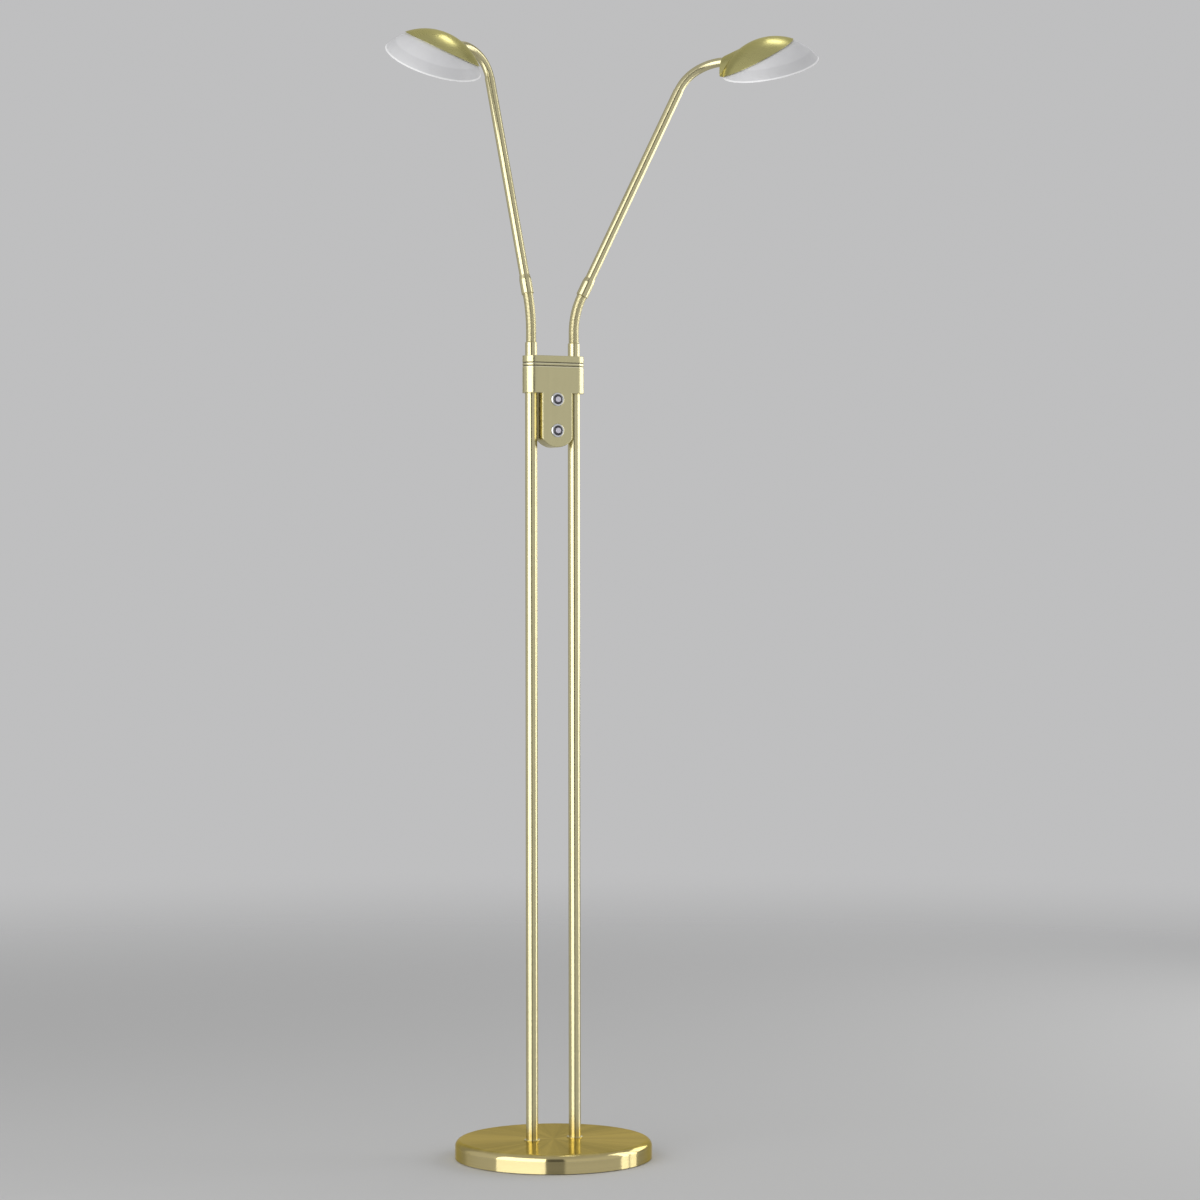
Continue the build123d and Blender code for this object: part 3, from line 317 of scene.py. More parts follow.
def write_handling(sheet: NodeSheet, given: Ports) -> dict[str, Socket]:
    """Soft cloudy marks from hands and cloths."""
    cloud = sheet.noise(given["Position"], given["Size"], 4.0, 0.55)
    return {"Cloud": sheet.spread(cloud, 0.36, 0.68)}


def write_edges(sheet: NodeSheet, given: Ports) -> dict[str, Socket]:
    """Rounded normal at sharp edges, and a mask where they are rubbed bright.

    Args:
        sheet: the group's sheet.
        given: the group's inputs.

    Returns:
        The group's outputs by name.
    """
    rounded = sheet.add("ShaderNodeBevel", {"Radius": given["Width"]}, samples=6).outputs[0]
    turned = sheet.spread(sheet.facing(rounded), 0.995, 0.86)
    patchy = sheet.noise(given["Position"], given["Breakup"], 3.0, 0.6)
    worn = sheet.math("MULTIPLY", turned, sheet.spread(patchy, 0.36, 0.62, 0.35, 1.0))
    return {"Mask": worn, "Normal": rounded}


def write_dust(sheet: NodeSheet, given: Ports) -> dict[str, Socket]:
    """Thin dust on faces that look up.

    Args:
        sheet: the group's sheet.
        given: the group's inputs.

    Returns:
        The group's outputs by name.
    """
    flat = sheet.spread(sheet.facing(UP), 0.55, 1.0)
    drift = sheet.noise(given["Position"], 34.0, 5.0, 0.6)
    fluff = sheet.noise(given["Position"], 1500.0)
    lying = sheet.math("MULTIPLY", flat, sheet.spread(drift, 0.3, 0.75))
    grains = sheet.math("MULTIPLY", lying, sheet.spread(fluff, 0.35, 0.7, 0.4, 1.0))
    return {"Mask": sheet.math("MULTIPLY", grains, given["Amount"])}


BRUSHING = SharedEffect("fine_brushing", {"Across": 1800.0, "Along": 14.0}, write_brushing)
TURNING = SharedEffect("turned_lines", {"Across": 1800.0, "Along": 3.0}, write_turning)
HANDLING = SharedEffect("handling_marks", {"Size": 22.0}, write_handling)
EDGES = SharedEffect("edge_wear", {"Width": 0.0006, "Breakup": 260.0}, write_edges)
DUST = SharedEffect("settled_dust", {"Amount": 0.1}, write_dust)


# ---- finishes


def new_material(name: str) -> tuple[Material, NodeSheet, Socket]:
    """Start a material.

    Args:
        name: its name.

    Returns:
        The material, its sheet and the object position.
    """
    material = bpy.data.materials.new(name)
    material.use_nodes = True
    sheet = NodeSheet(material.node_tree)
    return material, sheet, sheet.add("ShaderNodeTexCoord").outputs["Object"]


class Finish:
    """A surface finish that builds its material once."""

    name: str

    def material(self) -> Material:
        """The finish's material.

        Returns:
            The material, built at first use.
        """
        found = bpy.data.materials.get(self.name)
        if found:
            return found
        material, sheet, position = new_material(self.name)
        sheet.fill(material.node_tree.nodes["Principled BSDF"], self.surface(sheet, position))
        return material

    def surface(self, sheet: NodeSheet, position: Socket) -> Inputs:
        """Inputs of the surface shader, by name."""
        raise NotImplementedError


@dataclass(frozen=True)
class BrushedMetal(Finish):
    """Satin metal with fine lines along an axis or round it."""

    name: str
    colour: Colour
    roughness: float = 0.20
    grain: Grain = Grain.ROUND
    axis: Point = (0.0, 0.0, 1.0)
    centre: Point = (0.0, 0.0, 0.0)
    across: float = 1800.0
    along: float = 3.0
    anisotropy: float = 0.70
    streaks: float = 0.04
    line_roughness: float = 0.03
    relief_strength: float = 0.35
    relief_depth: float = 0.000004
    rounded_edges: bool = True
    edge_width: float = 0.0005
    rubbing: float = 0.5
    rubbed_colour: Colour = (0.86, 0.80, 0.62)
    smudges: float = 0.04
    tarnish: float = 0.05
    tarnish_tint: float = 0.62
    edge_tint: Colour = (1.0, 0.97, 0.86)
    dust: float = 0.03
    dust_colour: Colour = (0.42, 0.40, 0.37)
    # Small skews, so that no face lies square to the axis or with its middle on it.
    axis_skew: Point = (0.021, 0.034, 0.027)
    centre_skew: Point = (0.00002, 0.00003, 0.0)

    def surface(self, sheet: NodeSheet, position: Socket) -> Inputs:
        """Inputs of the surface shader, by name.

        Args:
            sheet: the material's sheet.
            position: the object position.

        Returns:
            Brushed, tarnished and smudged metal with rubbed edges and a little dust.
        """
        turn = Vector(self.axis).normalized().rotation_difference(UP)
        shift = -(turn.to_matrix() @ Vector(self.centre))
        inputs = {"Vector": position, "Rotation": turn.to_euler(), "Location": shift}
        local = sheet.add("ShaderNodeMapping", inputs, vector_type="POINT").outputs[0]
        effect = TURNING if self.grain is Grain.ROUND else BRUSHING
        lines = effect.on(sheet, local, Across=self.across, Along=self.along)
        cloud = HANDLING.on(sheet, position)["Cloud"]
        worn = EDGES.on(sheet, position, Width=self.edge_width)
        dusty = DUST.on(sheet, position, Amount=self.dust)["Mask"]

        streaked = sheet.tones(lines["Shade"], self.colour, (1.0 - self.streaks, 1.0 + self.streaks))
        clean = self.ground(sheet, position, lines, streaked)
        tarnish = sheet.math("MULTIPLY", cloud, self.tarnish)
        toned = sheet.blend(tarnish, clean, tinted(self.colour, self.tarnish_tint))
        rubbed = sheet.blend(sheet.math("MULTIPLY", worn["Mask"], self.rubbing), toned, self.rubbed_colour)

        lined = sheet.math("MULTIPLY_ADD", lines["Shade"], self.line_roughness, self.gloss(sheet))
        smudged = sheet.math("MULTIPLY_ADD", cloud, self.smudges, lined)
        start = worn["Normal"] if self.rounded_edges else None
        return {
            "Base Color": sheet.blend(dusty, rubbed, self.dust_colour),
            "Roughness": sheet.math("ADD", smudged, dusty, clamp=True),
            "Metallic": sheet.math("SUBTRACT", 1.0, dusty, clamp=True),
            "Specular Tint": (*self.edge_tint, 1.0),
            "Anisotropic": self.anisotropy,
            "Tangent": self.tangent(sheet, position),
            "Normal": sheet.relief(lines["Height"], self.relief_strength, self.relief_depth, start),
        }

    def ground(self, sheet: NodeSheet, position: Socket, lines: Ports, streaked: Socket) -> Socket:
        """Colour of the clean metal, here just its fine streaks."""
        return streaked

    def gloss(self, sheet: NodeSheet) -> Value:
        """Roughness where the fine lines are lowest, here the same all over."""
        return self.roughness - 0.5 * self.line_roughness

    def tangent(self, sheet: NodeSheet, position: Socket) -> Socket:
        """Direction across the fine lines, which is the way highlights stretch.

        Args:
            sheet: the material's sheet.
            position: the object position.

        Returns:
            The direction.
        """
        normal = sheet.add("ShaderNodeNewGeometry").outputs["Normal"]
        axis = Vector(self.axis).normalized()
        if self.grain is Grain.ALONG:
            skewed = (axis + Vector(self.axis_skew)).normalized()
            return sheet.vector("NORMALIZE", sheet.vector("CROSS_PRODUCT", normal, skewed))
        centre = Vector(self.centre) + Vector(self.centre_skew)
        onward = sheet.vector("CROSS_PRODUCT", axis, sheet.vector("SUBTRACT", position, centre))
        return sheet.vector("CROSS_PRODUCT", normal, sheet.vector("NORMALIZE", onward))


@dataclass(frozen=True)
class SpunDisc(BrushedMetal):
    """Spun disc with a circular-brushed top in a warmer painted tone with wedges of painted highlight and
    shade, and a polished edge wall.
    """

    # Painted light: the top gets a warmer tone of its own, with lighter and darker wedges standing in for the
    # brushed top's highlights.
    painted_top_colour: Colour = (0.66, 0.54, 0.21)
    sectors: float = 0.26
    wall_roughness: float = 0.10
    top_band: Pair = (0.55, 0.97)

    def upward(self, sheet: NodeSheet) -> Socket:
        """How far a face looks up, from 0 on the wall to 1 on the top."""
        return sheet.spread(sheet.facing(UP), *self.top_band)

    def ground(self, sheet: NodeSheet, position: Socket, lines: Ports, streaked: Socket) -> Socket:
        """Wall colour and, on the top, a warmer painted tone with wedges of painted highlight and shade."""
        wedges = sheet.tones(lines["Sectors"], self.painted_top_colour, (1.0 - self.sectors, 1.0 + self.sectors))
        return sheet.blend(self.upward(sheet), streaked, wedges)

    def gloss(self, sheet: NodeSheet) -> Value:
        """Roughness of the wall and of the top."""
        rougher = self.roughness - self.wall_roughness
        return sheet.math("MULTIPLY_ADD", self.upward(sheet), rougher, self.wall_roughness)


@dataclass(frozen=True)
class GroovedSheet(BrushedMetal):
    """Brushed sheet with grooves round it, with painted shade inside them and a painted highlight along their
    lips.

    The bands and the lip's distance are measured in half widths of a groove.
    """

    grooves: tuple[float, ...] = ()
    half_width: float = 0.0006
    lip_below: float = 2.1
    lip_highlight_band: Pair = (1.1, 0.2)
    lip_highlight_strength: float = 0.75
    lip_highlight_colour: Colour = (0.92, 0.88, 0.66)
    groove_shade_band: Pair = (1.3, 0.8)
    groove_shade_tint: float = 0.22

    def ground(self, sheet: NodeSheet, position: Socket, lines: Ports, streaked: Socket) -> Socket:
        """Brushed metal with painted shade on the grooves' floors and a painted highlight along their lower
        lips.

        Args:
            sheet: the material's sheet.
            position: the object position.
            lines: outputs of the fine lines, not used here.
            streaked: the brushed metal.

        Returns:
            The colour.
        """
        height = sheet.axes(position)["Z"]
        found = streaked
        for groove in self.grooves:
            lip_height = groove - self.lip_below * self.half_width
            # Painted highlight along each groove's lower lip, and painted shade on its floor.
            for middle, band, strength, colour in (
                (lip_height, self.lip_highlight_band, self.lip_highlight_strength, self.lip_highlight_colour),
                (groove, self.groove_shade_band, 1.0, tinted(self.colour, self.groove_shade_tint)),
            ):
                apart = sheet.math("ABSOLUTE", sheet.math("SUBTRACT", height, middle))
                outer, inner = (share * self.half_width for share in band)
                found = sheet.blend(sheet.spread(apart, outer, inner, 0.0, strength), found, colour)
        return found


@dataclass(frozen=True)
class PlainSolid(Finish):
    """Plastic or plain metal: cloudy marks, rubbed edges, dust and a fine skin."""

    name: str
    colour: Colour
    roughness: float = 0.45
    grains: float = 2600.0
    depth: float = 0.00003
    dust: float = 0.12
    mottle: Pair = (0.89, 1.11)
    metallic: float = 0.0
    haze: float = 0.12
    smoother: float = 0.05
    cloud_size: float = 60.0
    edge_width: float = 0.0003
    rubbing: float = 0.35
    rubbed_tint: float = 1.7
    dust_colour: Colour = (0.45, 0.44, 0.42)
    grain_detail: Pair = (3.0, 0.6)
    relief_strength: float = 0.4

    def rubbed_colour(self) -> Colour:
        """Colour of edges that are rubbed bright."""
        return tinted(self.colour, self.rubbed_tint)

    def surface(self, sheet: NodeSheet, position: Socket) -> Inputs:
        """Inputs of the surface shader, by name.

        Args:
            sheet: the material's sheet.
            position: the object position.

        Returns:
            Mottled stuff with lighter edges, some dust and a fine skin.
        """
        cloud = HANDLING.on(sheet, position, Size=self.cloud_size)["Cloud"]
        worn = EDGES.on(sheet, position, Width=self.edge_width)
        dusty = DUST.on(sheet, position, Amount=self.dust)["Mask"]
        mottled = sheet.tones(cloud, self.colour, self.mottle)
        bare = sheet.math("MULTIPLY", worn["Mask"], self.rubbing)
        rubbed = sheet.blend(bare, mottled, self.rubbed_colour())
        skin = sheet.noise(position, self.grains, *self.grain_detail)
        return {
            "Base Color": sheet.blend(dusty, rubbed, self.dust_colour),
            "Metallic": self.metallic,
            "Roughness": sheet.math("MULTIPLY_ADD", cloud, self.haze, self.roughness - self.smoother),
            "Normal": sheet.relief(skin, self.relief_strength, self.depth, worn["Normal"]),
        }


@dataclass(frozen=True)
class CastMetal(PlainSolid):
    """Cast or plain metal with a sandy skin."""

    roughness: float = 0.5
    grains: float = 900.0
    depth: float = 0.00012
    dust: float = 0.0
    mottle: Pair = (0.82, 1.1)
    metallic: float = 1.0
    haze: float = 0.18
    smoother: float = 0.08
    cloud_size: float = 40.0
    edge_width: float = 0.0005
    rubbing: float = 0.6
    rubbed_tint: float = 1.6
    grain_detail: Pair = (4.0, 0.6)


@dataclass(frozen=True)
class PolishedChrome(PlainSolid):
    """Bright plated metal with light turning marks."""

    roughness: float = 0.07
    grains: float = 900.0
    depth: float = 0.00001
    dust: float = 0.0
    mottle: Pair = (1.0, 0.88)
    metallic: float = 1.0
    haze: float = 0.08
    smoother: float = 0.0
    cloud_size: float = 120.0
    rubbing: float = 0.4
    grain_detail: Pair = (2.0, 0.5)
    relief_strength: float = 0.15

    def rubbed_colour(self) -> Colour:
        """Colour of edges, where the plating is brightest."""
        return (0.9, 0.9, 0.9)


@dataclass(frozen=True)
class FrostedShade(Finish):
    """White frosted shade: finely etched, with a painted highlight along the rim, a painted glow in the
    middle and painted shade in a greyer outer band.
    """

    name: str
    centre: Point
    axis: Point
    colour: Colour = (0.71, 0.71, 0.72)
    cloud_size: float = 30.0
    cloud_tint: float = 0.965
    painted_glow_colour: Colour = (0.88, 0.875, 0.85)
    painted_glow_band: Pair = (0.046, 0.010)
    ring_radius: float = 0.056
    ring_width: float = 0.0022
    ring_shade_strength: float = 0.75
    ring_shade_tint: float = 0.86
    rim_highlight_colour: Colour = (0.90, 0.90, 0.90)
    rim_highlight_height: float = 0.0024
    dust: float = 0.05
    dust_colour: Colour = (0.5, 0.49, 0.47)
    roughness: float = 0.40
    haze: float = 0.1
    glow: float = 0.3
    glow_radius: Colour = (1.0, 1.0, 0.95)
    glow_depth: float = 0.004
    sheen: float = 0.25
    sheen_roughness: float = 0.3
    etching: float = 2200.0
    etching_strength: float = 0.25
    etching_depth: float = 0.00003

    def surface(self, sheet: NodeSheet, position: Socket) -> Inputs:
        """Inputs of the surface shader, by name.

        Args:
            sheet: the material's sheet.
            position: the object position.

        Returns:
            Frosted white with a little subsurface glow, a painted glow in the middle, painted shade in the
            outer band and a painted highlight along the rim.
        """
        cloud = HANDLING.on(sheet, position, Size=self.cloud_size)["Cloud"]
        dusty = DUST.on(sheet, position, Amount=self.dust)["Mask"]
        reach, rise = self.place(sheet, position)
        ring_start = self.ring_radius - self.ring_width
        clouded = sheet.blend(cloud, self.colour, tinted(self.colour, self.cloud_tint))
        # Painted glow: the middle of the shade is lighter, as if lit from within.
        lighter = sheet.blend(sheet.spread(reach, *self.painted_glow_band), clouded, self.painted_glow_colour)
        # Painted shade: the band outside the ring is greyer, as if an inner part shows through the frosting.
        outer_shade = sheet.spread(reach, ring_start, self.ring_radius, 0.0, self.ring_shade_strength)
        ring_shaded = sheet.blend(outer_shade, lighter, tinted(self.colour, self.ring_shade_tint))
        # Painted highlight: a bright line along the rim.
        rim = sheet.spread(rise, self.rim_highlight_height, self.rim_highlight_height * 0.5)
        rim_highlighted = sheet.blend(rim, ring_shaded, self.rim_highlight_colour)
        etched = sheet.noise(position, self.etching, 3.0, 0.65)
        return {
            "Base Color": sheet.blend(dusty, rim_highlighted, self.dust_colour),
            "Roughness": sheet.math("MULTIPLY_ADD", cloud, self.haze, self.roughness),
            "Subsurface Weight": self.glow,
            "Subsurface Radius": self.glow_radius,
            "Subsurface Scale": self.glow_depth,
            "Sheen Weight": self.sheen,
            "Sheen Roughness": self.sheen_roughness,
            "Normal": sheet.relief(etched, self.etching_strength, self.etching_depth),
        }

    def place(self, sheet: NodeSheet, position: Socket) -> tuple[Socket, Socket]:
        """Distance from the shade's axis, and height above its rim.

        Args:
            sheet: the material's sheet.
            position: the object position.

        Returns:
            The distance and the height, in metres.
        """
        offset = sheet.vector("SUBTRACT", position, self.centre)
        rise = sheet.vector("DOT_PRODUCT", offset, self.axis)
        aside = sheet.vector("SUBTRACT", offset, sheet.scaled(self.axis, rise))
        return sheet.vector("LENGTH", aside), rise


@dataclass(frozen=True)
class PressedFelt(Finish):
    """Dark felt of short matted fibres."""

    name: str = "foot_felt"
    colour: Colour = (0.035, 0.035, 0.038)
    fibre_scale: float = 1400.0
    clump_scale: float = 90.0
    tints: Pair = (0.5, 2.2)
    roughness: Pair = (0.88, 0.98)
    sheen: float = 0.3
    depth: float = 0.0003

    def surface(self, sheet: NodeSheet, position: Socket) -> Inputs:
        """Inputs of the surface shader, by name.

        Args:
            sheet: the material's sheet.
            position: the object position.

        Returns:
            Dark matted fibres.
        """
        fibres = sheet.noise(position, self.fibre_scale, 5.0, 0.75)
        clumps = sheet.noise(position, self.clump_scale, 3.0, 0.6)
        tufts = sheet.spread(clumps, 0.25, 0.75, 0.5, 1.0)
        shade = sheet.math("MULTIPLY", sheet.spread(fibres, 0.3, 0.7), tufts)
        return {
            "Base Color": sheet.tones(shade, self.colour, self.tints),
            "Roughness": sheet.spread(clumps, 0.3, 0.7, *self.roughness),
            "Sheen Weight": self.sheen,
            "Normal": sheet.relief(fibres, 0.8, self.depth),
        }


@dataclass(frozen=True)
class PrintedBoard(Finish):
    """Circuit board lacquer with tracks and pads."""

    name: str
    colour: Colour
    track: Colour
    track_scale: float = 260.0
    track_strength: float = 0.7
    weave_scale: float = 1800.0
    tints: Pair = (0.85, 1.15)
    roughness: Pair = (0.28, 0.42)
    depth: float = 0.00005

    def surface(self, sheet: NodeSheet, position: Socket) -> Inputs:
        """Inputs of the surface shader, by name.

        Args:
            sheet: the material's sheet.
            position: the object position.

        Returns:
            Lacquer over a weave, with raised tracks.
        """
        inputs = {"Vector": position, "Scale": self.track_scale}
        cells = sheet.add("ShaderNodeTexVoronoi", inputs, feature="DISTANCE_TO_EDGE", distance="EUCLIDEAN")
        tracks = sheet.spread(cells.outputs["Distance"], 0.10, 0.06)
        weave = sheet.noise(position, self.weave_scale)
        lacquer = sheet.tones(sheet.spread(weave, 0.3, 0.7), self.colour, self.tints)
        shown = sheet.math("MULTIPLY", tracks, self.track_strength)
        return {
            "Base Color": sheet.blend(shown, lacquer, self.track),
            "Roughness": sheet.spread(weave, 0.3, 0.7, *self.roughness),
            "Normal": sheet.relief(tracks, 0.5, self.depth),
        }


PALE_BRASS: Colour = (0.63, 0.575, 0.345)
# A darker, more olive copy of the pale brass: painted shade for the dark surroundings the cover reflects.
SHADED_COVER_BRASS: Colour = (0.56, 0.52, 0.225)
BASE_BRASS: Colour = (0.63, 0.535, 0.27)
HOUSING_BRASS: Colour = (0.63, 0.58, 0.34)

BLACK_PLASTIC = PlainSolid("black_moulded_plastic", (0.022, 0.022, 0.024))
DARK_KEY = PlainSolid("dark_key_plastic", (0.055, 0.052, 0.065), roughness=0.3, dust=0.05)
GREY_CAP = PlainSolid("grey_key_cap", (0.34, 0.33, 0.38), roughness=0.32, dust=0.05)
LEAD_SHEATH = PlainSolid("lead_sheath", (0.05, 0.05, 0.052), roughness=0.5, grains=1200.0)
OPAL_SHEET = PlainSolid(
    "opal_diffuser_sheet", (0.74, 0.74, 0.72), roughness=0.4, dust=0.0, mottle=(0.98, 1.02)
)
PHOSPHOR = PlainSolid("light_chip_phosphor", (0.80, 0.62, 0.16), roughness=0.35, dust=0.0)
INDICATOR = PlainSolid("button_indicator", (0.62, 0.63, 0.70), roughness=0.15, depth=0.00001, dust=0.0)
CAST_ALUMINIUM = CastMetal("cast_aluminium", (0.56, 0.57, 0.58))
CAST_WEIGHT = CastMetal("cast_weight", (0.09, 0.09, 0.095), roughness=0.7, metallic=0.6, grains=500.0)
ZINC_STEEL = CastMetal("zinc_steel", (0.55, 0.56, 0.57), roughness=0.35, grains=2400.0, depth=0.00002)
CHROME = PolishedChrome("bright_plated_ring", (0.78, 0.79, 0.80))
GREEN_BOARD = PrintedBoard("green_circuit_board", (0.02, 0.12, 0.05), (0.05, 0.22, 0.09))
WHITE_BOARD = PrintedBoard("white_light_board", (0.66, 0.67, 0.66), (0.76, 0.77, 0.76))
FELT = PressedFelt()
BRASS_BASE = SpunDisc(
    "circular_brushed_base", BASE_BRASS, roughness=0.15, across=1500.0, along=2.2,
    anisotropy=0.85, streaks=0.05, edge_width=0.0004, edge_tint=(0.82, 0.70, 0.34),
)
BRASS_HOUSING = GroovedSheet(
    "brushed_housing", HOUSING_BRASS, grain=Grain.ALONG, across=1500.0, along=12.0, anisotropy=0.3,
    streaks=0.015, edge_width=0.0014, grooves=(1048.3 * MM, 1044.1 * MM),
)
BRASS_COLLARS = BrushedMetal(
    "turned_pole_collars", PALE_BRASS, roughness=0.16, anisotropy=0.3, edge_width=0.0002
)


def tube_brass(name: str, axis: Vector, centre: Vector, **more: float) -> BrushedMetal:
    """Satin brass polished round a tube.

    Args:
        name: the finish's name.
        axis: the tube's direction.
        centre: a point on its centre line.
        more: other fields of the finish.

    Returns:
        The finish.
    """
    plain = {"rounded_edges": False, "relief_depth": 0.000001, "smudges": 0.02}
    return BrushedMetal(name, PALE_BRASS, axis=tuple(axis), centre=tuple(centre), **plain, **more)


# ---- objects


def linked(name: str, data: bpy.types.ID) -> Thing:
    """Make an object from its data and put it in the scene."""
    made = bpy.data.objects.new(name, data)
    bpy.context.scene.collection.objects.link(made)
    return made


def mesh_object(name: str, work: bmesh.types.BMesh) -> Thing:
    """Put a built mesh in the scene, and free its work."""
    mesh = bpy.data.meshes.new(name)
    work.to_mesh(mesh)
    work.free()
    return linked(name, mesh)


def evaluated_mesh(source: Thing, name: str) -> Thing:
    """Turn an object and its modifiers into a plain mesh object.

    Args:
        source: the object, which is removed.
        name: the new object's name.

    Returns:
        The new object.
    """
    graph = bpy.context.evaluated_depsgraph_get()
    mesh = bpy.data.meshes.new_from_object(source.evaluated_get(graph), depsgraph=graph)
    mesh.name = name
    bpy.data.objects.remove(source)
    return linked(name, mesh)


def outward_and_smooth(piece: Thing, crease: float = 40.0, seam: float = 0.000002) -> None:
    """Close a mesh's seams, face it outwards and shade it smooth below an angle.

    Args:
        piece: the mesh object.
        crease: the angle between faces that stays sharp, in degrees.
        seam: the distance below which points are one, in metres.
    """
    work = bmesh.new()
    work.from_mesh(piece.data)
    bmesh.ops.remove_doubles(work, verts=work.verts, dist=seam)
    bmesh.ops.recalc_face_normals(work, faces=work.faces)
    for edge in work.edges:
        edge.smooth = len(edge.link_faces) != 2 or edge.calc_face_angle(0.0) <= math.radians(crease)
    for face in work.faces:
        face.smooth = True
    work.to_mesh(piece.data)
    work.free()


def dress(finish: Finish, *nodes: str) -> None:
    """Give solids of the frame their finish.

    Args:
        finish: the finish.
        nodes: the solids' names.
    """
    for node in nodes:
        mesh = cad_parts[node].data
        mesh.materials.clear()
        mesh.materials.append(finish.material())
        log.info("dressed %s in %s", node, finish.name)


# ---- centre lines


@dataclass(frozen=True)
class Bend:
    """A centre line: a straight lead, then a circular bend from one direction to another."""

    root: Vector
    first: Vector
    last: Vector
    lead: float
    length: float

    def point(self, travelled: float) -> Vector:
        """Point at a distance from the root.

        Args:
            travelled: the distance along the line, in metres.

        Returns:
            The point.
        """
        start = self.root + self.first * min(travelled, self.lead)
        if travelled <= self.lead:
            return start
        turn = self.first.angle(self.last)
        radius = self.length / turn
        angle = turn * (travelled - self.lead) / self.length
        inward = self.first.cross(self.last).normalized().cross(self.first)
        return start + self.first * (math.sin(angle) * radius) + inward * ((1.0 - math.cos(angle)) * radius)

    def stretch(self, start: float, end: float, steps: int) -> list[Vector]:
        """Evenly spaced points between two distances."""
        return [self.point(start + (end - start) * i / steps) for i in range(steps + 1)]


@dataclass(frozen=True)
class ArmPose:
    """How one arm stands at rest, in degrees; outwards is away from the lamp's middle."""

    side: Side
    lean_out: float
    lean_forward: float
    crook_tilt: float
    crook_forward: float
    head_tilt: float
    head_forward: float
    head_roll: float

    def arm_way(self) -> Vector:
        """Direction of the arm tube."""
        out = self.side.value * math.tan(math.radians(self.lean_out))
        return Vector((out, -math.tan(math.radians(self.lean_forward)), 1.0)).normalized()

    def tilted(self, tilt: float, forward: float) -> Vector:
        """Direction tilted from upright and turned forward from straight out."""
        flat = math.sin(math.radians(tilt))
        out = self.side.value * flat * math.cos(math.radians(forward))
        return Vector((out, -flat * math.sin(math.radians(forward)), math.cos(math.radians(tilt))))


# ---- wound necks


# How half a neck is wound and how finely it is meshed, by the names of the tree's inputs.
RIBBED: Inputs = {
    "Turns": 18.0, "Rows per Turn": 10, "Sides": 48, "Sheath Radius": 6.75 * MM,
    "Groove Depth": 0.55 * MM, "Groove Shape": 0.6, "Plug Radius": 5.6 * MM,
}
FINELY_WOUND: Inputs = {
    "Turns": 30.0, "Rows per Turn": 6, "Sides": 40, "Sheath Radius": 6.1 * MM,
    "Groove Depth": 0.05 * MM, "Groove Shape": 1.0, "Plug Radius": 5.4 * MM,
}


